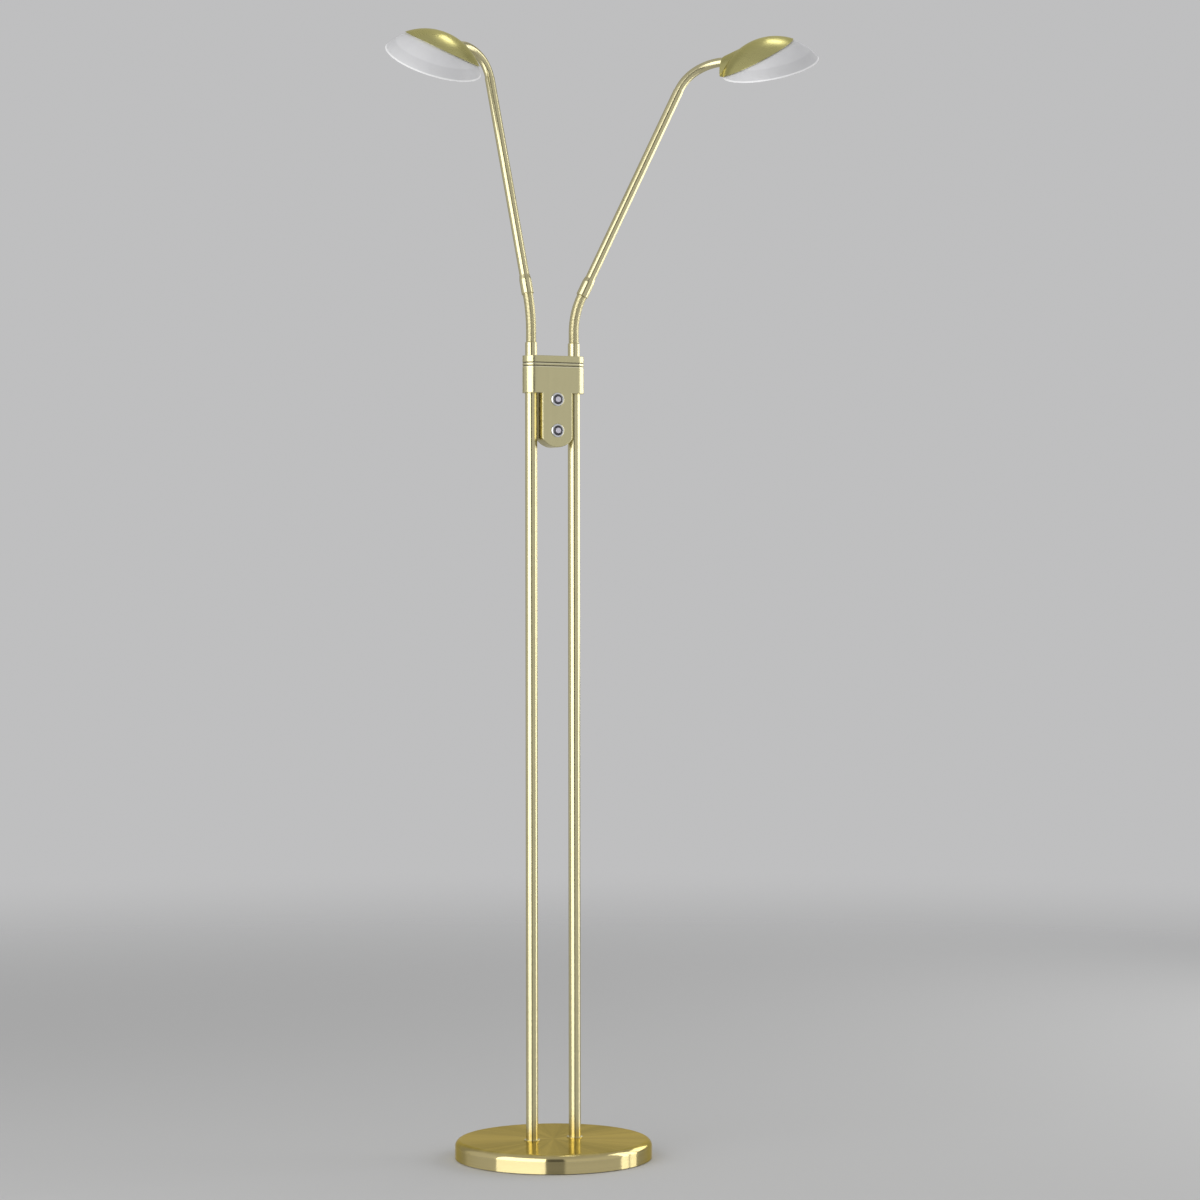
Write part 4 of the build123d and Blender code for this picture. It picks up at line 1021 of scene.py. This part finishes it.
class WoundNeckTree:
    """Geometry tree of a flexible neck: a helical winding along a centre line, and a plug."""

    INPUTS = {
        "Geometry": ("Centre Line",),
        "Int": ("Rows per Turn", "Sides"),
        "Float": ("Turns", "Sheath Radius", "Groove Depth", "Groove Shape", "Plug Radius"),
        "Vector": ("Plug Start", "Plug End"),
        "Material": ("Finish",),
    }

    @classmethod
    def tree(cls) -> NodeTree:
        """The tree.

        Returns:
            The geometry node group, built at first use.
        """
        found = bpy.data.node_groups.get("wound_neck")
        if found:
            return found
        tree = bpy.data.node_groups.new("wound_neck", "GeometryNodeTree")
        for kind, names in cls.INPUTS.items():
            for name in names:
                tree.interface.new_socket(name, in_out="INPUT", socket_type="NodeSocket" + kind)
        tree.interface.new_socket("Neck", in_out="OUTPUT", socket_type="NodeSocketGeometry")
        sheet = NodeSheet(tree)
        given = sheet.add("NodeGroupInput").outputs
        line = {"Start": given["Plug Start"], "End": given["Plug End"]}
        plug_line = sheet.add("GeometryNodeCurvePrimitiveLine", line, mode="POINTS").outputs[0]
        plug = cls.swept(sheet, plug_line, cls.ring(sheet, given["Sides"], given["Plug Radius"]))
        joined = sheet.add("GeometryNodeJoinGeometry")
        for piece in (plug, cls.wound(sheet, given)):
            tree.links.new(piece, joined.inputs[0])
        real = sheet.add("GeometryNodeRealizeInstances", {0: joined.outputs[0]}).outputs[0]
        dressed = sheet.add("GeometryNodeSetMaterial", {"Geometry": real, "Material": given["Finish"]})
        sheet.add("NodeGroupOutput", {0: dressed.outputs[0]})
        return tree

    @classmethod
    def wound(cls, sheet: NodeSheet, given: Ports) -> Socket:
        """The sheath, sunk along a helix.

        Args:
            sheet: the tree's sheet.
            given: the tree's inputs.

        Returns:
            Its geometry.
        """
        rows = sheet.math("MULTIPLY", given["Turns"], given["Rows per Turn"])
        inputs = {"Curve": given["Centre Line"], "Count": rows}
        line = sheet.add("GeometryNodeResampleCurve", inputs, mode="COUNT").outputs[0]
        onward = sheet.add("GeometryNodeSplineParameter").outputs["Factor"]
        middle = sheet.add("GeometryNodeInputPosition").outputs[0]
        along = cls.capture(sheet, line, onward, "FLOAT")
        centre = cls.capture(sheet, along[0], middle, "VECTOR")
        turning = sheet.add("GeometryNodeSplineParameter").outputs["Factor"]
        around = cls.capture(sheet, cls.ring(sheet, given["Sides"], given["Sheath Radius"]), turning, "FLOAT")
        sheath = cls.swept(sheet, centre[0], around[0])

        phase = sheet.math("ADD", sheet.math("MULTIPLY", along[1], given["Turns"]), around[1])
        wave = sheet.math("ABSOLUTE", sheet.math("SINE", sheet.math("MULTIPLY", phase, math.pi)))
        rise = sheet.math("POWER", wave, given["Groove Shape"])
        sunk = sheet.math("MULTIPLY", sheet.math("SUBTRACT", rise, 1.0), given["Groove Depth"])
        here = sheet.add("GeometryNodeInputPosition").outputs[0]
        outward = sheet.vector("NORMALIZE", sheet.vector("SUBTRACT", here, centre[1]))
        inputs = {"Geometry": sheath, "Offset": sheet.scaled(outward, sunk)}
        return sheet.add("GeometryNodeSetPosition", inputs).outputs[0]

    @staticmethod
    def ring(sheet: NodeSheet, sides: Socket, radius: Socket) -> Socket:
        """A ring to sweep along a line."""
        inputs = {"Resolution": sides, "Radius": radius}
        return sheet.add("GeometryNodeCurvePrimitiveCircle", inputs, mode="RADIUS").outputs[0]

    @staticmethod
    def swept(sheet: NodeSheet, line: Socket, profile: Socket) -> Socket:
        """A closed tube along a line."""
        inputs = {"Curve": line, "Profile Curve": profile, "Fill Caps": True}
        return sheet.add("GeometryNodeCurveToMesh", inputs).outputs[0]

    @staticmethod
    def capture(sheet: NodeSheet, geometry: Socket, value: Socket, kind: str) -> Ports:
        """Store a field on points before they are swept.

        Args:
            sheet: the tree's sheet.
            geometry: what the field is stored on.
            value: the field.
            kind: FLOAT or VECTOR.

        Returns:
            The geometry, then the field.
        """
        node = sheet.add("GeometryNodeCaptureAttribute")
        node.capture_items.new(kind, "Stored")
        return sheet.fill(node, {0: geometry, 1: value}).outputs


@dataclass(frozen=True)
class WoundNeck:
    """Half of a flexible neck, which bends between two bodies."""

    node: str
    line: Bend
    start: float
    end: float
    bodies: tuple[str, str]
    winding: Inputs
    plug: tuple[Vector, Vector]
    finish: Finish
    slot: str = "brass_gooseneck"
    line_steps: int = 48
    crease: float = 75.0

    def make(self) -> Thing:
        """Build the piece and let it stand for its solid.

        Returns:
            The finished piece.
        """
        curve = bpy.data.curves.new(self.node + "_line", "CURVE")
        curve.dimensions = "3D"
        spline = curve.splines.new("POLY")
        points = self.line.stretch(self.start, self.end, self.line_steps)
        spline.points.add(len(points) - 1)
        for target, point in zip(spline.points, points):
            target.co = (*point, 1.0)
        holder = linked(self.node + "_line", curve)
        modifier = holder.modifiers.new("winding", "NODES")
        modifier.node_group = WoundNeckTree.tree()
        plug_start, plug_end = (tuple(point) for point in self.plug)
        ends = {"Plug Start": plug_start, "Plug End": plug_end, "Finish": self.finish.material()}
        values = self.winding | ends
        for item in modifier.node_group.interface.items_tree:
            if item.name in values:
                modifier[item.identifier] = values[item.name]
        piece = evaluated_mesh(holder, self.node + "_winding")
        outward_and_smooth(piece, self.crease)
        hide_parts(self.node)
        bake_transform(piece)
        log.info("wound %s: %d faces", piece.name, len(piece.data.polygons))
        return piece


# ---- sub-assemblies


@dataclass
class Base:
    """Round weighted foot."""

    fixings: tuple[str, ...] = ("pole_plugs", "pole_nipples", "pole_nuts")

    def make(self) -> None:
        """Dress the base's pieces."""
        dress(BRASS_BASE, "base_cover")
        dress(BRASS_COLLARS, "pole_collars")
        dress(CAST_WEIGHT, "base_weight")
        dress(FELT, "base_pad")
        dress(BLACK_PLASTIC, "power_inlet")
        dress(LEAD_SHEATH, "supply_lead")
        dress(ZINC_STEEL, *self.fixings)


@dataclass
class Poles:
    """The two upright poles."""

    spacing: float = 30.6 * MM

    def make(self) -> None:
        """Dress the poles."""
        for side in Side:
            centre = Vector((side.value * self.spacing, 0, 0))
            dress(tube_brass(f"satin_pole_{side.label}", UP, centre), f"pole_{side.label}")


@dataclass
class Housing:
    """Clamshell between the poles, with what it holds."""

    shells: tuple[str, ...] = ("housing_front", "housing_back")
    fixings: tuple[str, ...] = ("housing_screws", "board_screws")

    def make(self) -> None:
        """Dress the housing's pieces."""
        dress(BRASS_HOUSING, *self.shells)
        dress(ZINC_STEEL, *self.fixings)
        dress(CAST_ALUMINIUM, "clamp_block")
        dress(GREEN_BOARD, "control_board")
        dress(BLACK_PLASTIC, "push_switches")


@dataclass
class PushButton:
    """One push button with its bright ring, dark key, grey centre and small light."""

    level: str
    height: float
    front: float = -20.8 * MM
    dot_radius: float = 0.8 * MM
    dot_crown: float = 0.22 * MM
    dot_rows: int = 6
    dot_sides: int = 32

    def make(self) -> None:
        """Dress the button and add its small light."""
        dress(CHROME, f"button_bezel_{self.level}")
        dress(DARK_KEY, f"button_{self.level}")
        dress(GREY_CAP, f"button_lens_{self.level}")
        self.make_dot()

    def make_dot(self) -> Thing:
        """The small crowned light in the middle of the grey cap.

        Returns:
            The finished piece.
        """
        work = bmesh.new()
        back = self.front + self.dot_crown
        turns = [math.radians(90.0 * step / self.dot_rows) for step in range(self.dot_rows + 1)]
        outline = [
            (self.dot_radius * math.sin(turn), self.front - self.dot_crown * math.cos(turn)) for turn in turns
        ]
        outline += [(self.dot_radius, back), (0.0, back)]
        profile = [work.verts.new((reach, depth, self.height)) for reach, depth in outline]
        edges = [work.edges.new(pair) for pair in zip(profile, profile[1:])]
        bmesh.ops.spin(
            work, geom=profile + edges, cent=(0.0, 0.0, self.height), axis=(0.0, 1.0, 0.0),
            angle=math.tau, steps=self.dot_sides, use_duplicate=False,
        )
        dot = mesh_object(f"button_light_{self.level}", work)
        outward_and_smooth(dot)
        dot.data.materials.append(INDICATOR.material())
        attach(dot, f"button_{self.level}")
        log.info("made %s", dot.name)
        return dot


@dataclass
class Arm:
    """One arm: ferrules, necks, tube and lamp head."""

    pose: ArmPose
    foot_spacing: float = 30.6 * MM
    foot_height: float = 1075.8 * MM
    lower_straight: float = 14.0 * MM
    lower_bent: float = 50.0 * MM
    reach: float = 305.7 * MM
    upper_length: float = 75.0 * MM
    neck_to_axis: float = 66.4 * MM
    entry_height: float = 12.0 * MM
    dome_drop: float = 38.1 * MM
    plug_length: float = 8.0 * MM
    tip_plug_length: float = 3.0 * MM
    plug_overlap: float = MM

    @property
    def side(self) -> str:
        """Name of the side as the solids spell it."""
        return self.pose.side.label

    @property
    def foot(self) -> Vector:
        """Where the lower neck leaves its ferrule."""
        return Vector((self.pose.side.value * self.foot_spacing, 0.0, self.foot_height))

    def lower_line(self) -> Bend:
        """Centre line of the lower neck."""
        return Bend(self.foot, UP, self.pose.arm_way(), self.lower_straight, self.lower_bent)

    def elbow(self) -> Vector:
        """Where the lower neck meets the arm tube."""
        return self.lower_line().point(self.lower_straight + self.lower_bent)

    def upper_lines(self) -> tuple[Bend, Bend]:
        """Centre lines of the upper neck's two halves."""
        pose, half = self.pose, self.upper_length / 2
        arm_way = pose.arm_way()
        crook_way = pose.tilted(pose.crook_tilt, pose.crook_forward)
        head_way = pose.tilted(pose.head_tilt, pose.head_forward)
        near = Bend(self.elbow() + arm_way * self.reach, arm_way, crook_way, 0.0, half)
        return near, Bend(near.point(half), crook_way, head_way, 0.0, half)

    def head_frame(self) -> tuple[Vector, Vector]:
        """Middle of the head's rim, and the direction of its axis."""
        pose, far = self.pose, self.upper_lines()[1]
        way = far.last
        level = (UP - way * way.z).normalized()
        top_way = Matrix.Rotation(math.radians(pose.side.value * pose.head_roll), 3, way) @ level
        end = far.point(self.upper_length / 2)
        return end + way * self.neck_to_axis - top_way * self.entry_height, top_way

    def make(self) -> None:
        """Build the necks and dress the rest."""
        self.make_lower_neck()
        self.make_upper_neck()
        self.dress_tubes()
        self.dress_head()

    @staticmethod
    def plug(end: Vector, way: Vector, start: float, stop: float) -> tuple[Vector, Vector]:
        """Ends of a neck's plug, at two distances from the neck's end."""
        return end + way * start, end + way * stop

    def make_lower_neck(self) -> None:
        """The ribbed neck between the housing and the arm tube."""
        line, way, side = self.lower_line(), self.pose.arm_way(), self.side
        whole = self.lower_straight + self.lower_bent
        half, link = whole / 2, f"lower_link_{side}"
        finish = tube_brass(f"wound_lower_neck_{side}", way, line.point(half), roughness=0.22)
        root = self.plug(self.foot, UP, -self.plug_length, self.plug_overlap)
        tip = self.plug(self.elbow(), way, -self.plug_overlap, self.plug_length)
        for node, start, bodies, plug in (
            (f"lower_neck_{side}_root", 0.0, ("stand", link), root),
            (f"lower_neck_{side}_tip", half, (link, f"arm_{side}"), tip),
        ):
            WoundNeck(node, line, start, start + half, bodies, RIBBED, plug, finish).make()

    def make_upper_neck(self) -> None:
        """The finely wound neck between the arm tube and the lamp head."""
        near, far = self.upper_lines()
        half, side = self.upper_length / 2, self.side
        link = f"upper_link_{side}"
        finish = tube_brass(f"wound_upper_neck_{side}", near.last, near.point(half), anisotropy=0.3)
        root = self.plug(near.root, near.first, -self.plug_length, self.plug_overlap)
        tip = self.plug(far.point(half), far.last, -self.tip_plug_length, -self.plug_overlap)
        for node, line, bodies, plug in (
            (f"upper_neck_{side}_root", near, (f"arm_{side}", link), root),
            (f"upper_neck_{side}_tip", far, (link, f"neck_end_{side}"), tip),
        ):
            WoundNeck(node, line, 0.0, half, bodies, FINELY_WOUND, plug, finish).make()

    def dress_tubes(self) -> None:
        """Finishes of the ferrules, the arm tube and its lead."""
        way, elbow, side = self.pose.arm_way(), self.elbow(), self.side
        dress(tube_brass(f"turned_lower_ferrule_{side}", UP, self.foot), f"lower_ferrule_{side}")
        dress(tube_brass(f"turned_upper_ferrule_{side}", way, elbow), f"upper_ferrule_{side}")
        dress(tube_brass(f"satin_arm_{side}", way, elbow), f"arm_tube_{side}")
        dress(LEAD_SHEATH, f"arm_lead_{side}")

    def dress_head(self) -> None:
        """Finishes of the lamp head."""
        side = self.side
        way = self.pose.tilted(self.pose.head_tilt, self.pose.head_forward)
        middle, top_way = self.head_frame()
        dome = middle - top_way * self.dome_drop
        cover = BrushedMetal(
            f"spun_cover_{side}", SHADED_COVER_BRASS, axis=tuple(top_way), centre=tuple(dome),
            roughness=0.26, anisotropy=0.3, across=1500.0, edge_tint=(0.94, 0.90, 0.62),
        )
        pivot = tube_brass(f"turned_pivot_{side}", way, middle + top_way * self.entry_height)
        dress(cover, f"head_cover_{side}")
        dress(FrostedShade(f"frosted_shade_{side}", tuple(middle), tuple(top_way)), f"head_shade_{side}")
        dress(pivot, f"head_pivot_{side}")
        dress(CAST_ALUMINIUM, f"head_carrier_{side}")
        dress(ZINC_STEEL, f"head_screws_{side}", f"pivot_clip_{side}")
        dress(OPAL_SHEET, f"head_diffuser_{side}")
        dress(WHITE_BOARD, f"light_board_{side}")
        dress(PHOSPHOR, f"light_chips_{side}")


# ---- studio


@dataclass(frozen=True)
class SoftLight:
    """A rectangular soft light: its swing from the camera's direction in degrees, metres, watts."""

    name: str
    swing: float
    away: float
    size: Pair
    height: float
    aim_height: float
    power: float


@dataclass
class Studio:
    """Pale floor, even surroundings, large soft lights and the camera."""

    view_turn: float = 24.0
    distance: float = 4.190
    aside: float = 0.0623
    roll: float = -0.08
    camera_height: float = 0.736
    lens: float = 95.2
    sensor_width: float = 36.0
    backdrop: Colour = (0.52, 0.52, 0.525)
    surroundings: Colour = (0.42, 0.42, 0.425)
    # Swing from the camera's direction in degrees, and how bright metal sees the surroundings there.
    bands: tuple[Pair, ...] = (
        (-180.0, 0.52), (-150.0, 0.42), (-128.0, 0.36), (-118.0, 0.62), (-70.0, 0.68), (-9.0, 0.66),
        (-8.0, 0.13), (13.0, 0.13), (15.0, 0.66), (82.0, 0.66), (112.0, 0.40), (126.0, 0.30),
        (150.0, 0.42), (180.0, 0.52),
    )
    bands_fade: Pair = (0.45, 0.9)
    seen_through_floor: float = 0.55
    floor_colour: Colour = (0.60, 0.60, 0.595)
    floor_tints: Pair = (0.98, 1.02)
    floor_grain: float = 900.0
    floor_radius: float = 9.0
    floor_sides: int = 96
    floor_fade: Pair = (1.0, 4.5)
    floor_roughness: float = 0.8
    floor_shine: float = 0.2
    lights: tuple[SoftLight, ...] = (
        SoftLight("wide_softbox", -38.0, 2.7, (3.1, 3.8), 1.0, 1.0, 76.0),
        SoftLight("near_strip", 91.0, 2.7, (0.58, 3.8), 1.0, 1.0, 16.0),
        SoftLight("far_strip", 105.5, 2.7, (0.58, 3.8), 1.0, 1.0, 16.0),
        SoftLight("end_panel", 131.0, 2.7, (1.6, 1.3), 1.25, 1.25, 14.0),
        SoftLight("overhead_softbox", 155.0, 0.77, (0.40, 0.30), 2.72, 1.47, 1.6),
    )

    def rightward(self) -> Vector:
        """Level direction to the picture's right."""
        turn = math.radians(self.view_turn)
        return Vector((math.cos(turn), -math.sin(turn), 0.0))

    def towards_camera(self, swing: float = 0.0) -> Vector:
        """Level direction from the lamp to the camera, swung to the picture's right in degrees."""
        turn, swung = math.radians(self.view_turn), math.radians(swing)
        back = Vector((-math.sin(turn), -math.cos(turn), 0.0))
        return back * math.cos(swung) + self.rightward() * math.sin(swung)

    def make(self) -> None:
        """Build the studio."""
        self.make_camera()
        self.make_world()
        self.make_floor()
        for light in self.lights:
            self.make_light(light)

    def make_camera(self) -> None:
        """Level camera at the photograph's viewing angle."""
        data = bpy.data.cameras.new("camera")
        data.lens, data.sensor_width = self.lens, self.sensor_width
        camera = linked("camera", data)
        camera.location = self.towards_camera() * self.distance + self.rightward() * self.aside
        camera.location.z = self.camera_height
        camera.rotation_mode = "QUATERNION"
        level = (-self.towards_camera()).to_track_quat("-Z", "Y")
        camera.rotation_quaternion = level @ Quaternion(UP, math.radians(self.roll))
        bpy.context.scene.camera = camera
        bpy.context.scene.view_settings.view_transform = "Standard"

    def make_world(self) -> None:
        """Even pale surroundings, with brighter and darker bands for metal to show."""
        world = bpy.data.worlds.new("surroundings")
        world.use_nodes = True
        sheet = NodeSheet(world.node_tree)
        heading = sheet.add("ShaderNodeTexCoord").outputs["Generated"]
        ahead = sheet.vector("DOT_PRODUCT", heading, self.towards_camera())
        swing = sheet.math("ARCTAN2", sheet.vector("DOT_PRODUCT", heading, self.rightward()), ahead)
        share = sheet.math("MULTIPLY_ADD", swing, 1.0 / math.tau, 0.5)
        ramp = sheet.add("ShaderNodeValToRGB", {"Fac": share})
        stops = ramp.color_ramp.elements
        while len(stops) < len(self.bands):
            stops.new(0.5)
        for stop, (angle, level) in zip(stops, self.bands):
            stop.position = angle / 360.0 + 0.5
            stop.color = (level, level, level, 1.0)
        rise = sheet.math("ABSOLUTE", sheet.vector("DOT_PRODUCT", heading, UP))
        banded = sheet.blend(sheet.spread(rise, *self.bands_fade), ramp.outputs["Color"], self.backdrop)
        path = sheet.add("ShaderNodeLightPath").outputs
        shown = sheet.math("MAXIMUM", path["Is Camera Ray"], path["Is Transmission Ray"])
        seen = sheet.blend(shown, self.surroundings, self.backdrop)
        colour = sheet.blend(path["Is Glossy Ray"], seen, banded)
        sheet.fill(world.node_tree.nodes["Background"], {"Color": colour, "Strength": 1.0})
        bpy.context.scene.world = world

    def make_floor(self) -> None:
        """Plain pale floor that fades into the surroundings far away."""
        work = bmesh.new()
        bmesh.ops.create_circle(work, cap_ends=True, radius=self.floor_radius, segments=self.floor_sides)
        floor = mesh_object("floor", work)
        material, sheet, position = new_material("pale_floor")
        nodes = material.node_tree.nodes
        grain = sheet.noise(position, self.floor_grain, 3.0, 0.6)
        shader = sheet.fill(nodes["Principled BSDF"], {
            "Base Color": sheet.tones(grain, self.floor_colour, self.floor_tints),
            "Roughness": self.floor_roughness,
            "Specular IOR Level": self.floor_shine,
        })
        far = sheet.spread(sheet.vector("LENGTH", position), *self.floor_fade)
        glossy = sheet.add("ShaderNodeLightPath").outputs["Is Glossy Ray"]
        away = sheet.math("MAXIMUM", far, sheet.math("MULTIPLY", glossy, self.seen_through_floor))
        clear = sheet.add("ShaderNodeBsdfTransparent").outputs[0]
        mixed = sheet.add("ShaderNodeMixShader", {0: away, 1: shader.outputs[0], 2: clear})
        sheet.fill(nodes["Material Output"], {"Surface": mixed.outputs[0]})
        floor.data.materials.append(material)

    def make_light(self, light: SoftLight) -> None:
        """Add one soft light that the camera doesn't see.

        Args:
            light: its place, aim, size and power.
        """
        data = bpy.data.lights.new(light.name, "AREA")
        data.shape = "RECTANGLE"
        data.size, data.size_y = light.size
        data.energy = light.power
        lamp = linked(light.name, data)
        lamp.location = self.towards_camera(light.swing) * light.away + UP * light.height
        lamp.rotation_mode = "QUATERNION"
        aim = UP * light.aim_height - lamp.location
        lamp.rotation_quaternion = aim.to_track_quat("-Z", "Y")
        lamp.visible_camera = False


ARM_POSES = (
    ArmPose(Side.LEFT, 4.5, -14.4, 57.9, 17.5, 106.1, 39.0, 27.7),
    ArmPose(Side.RIGHT, 24.9, 6.2, 58.6, 22.0, 90.3, 50.3, 26.3),
)
BUTTON_HEIGHTS = {"upper": 1000.0 * MM, "lower": 959.0 * MM}


def main() -> None:
    """Build the studio and dress every sub-assembly."""
    Studio().make()
    Base().make()
    Poles().make()
    Housing().make()
    for level, height in BUTTON_HEIGHTS.items():
        PushButton(level, height).make()
    for pose in ARM_POSES:
        Arm(pose).make()


if __name__ == "__main__":
    main()
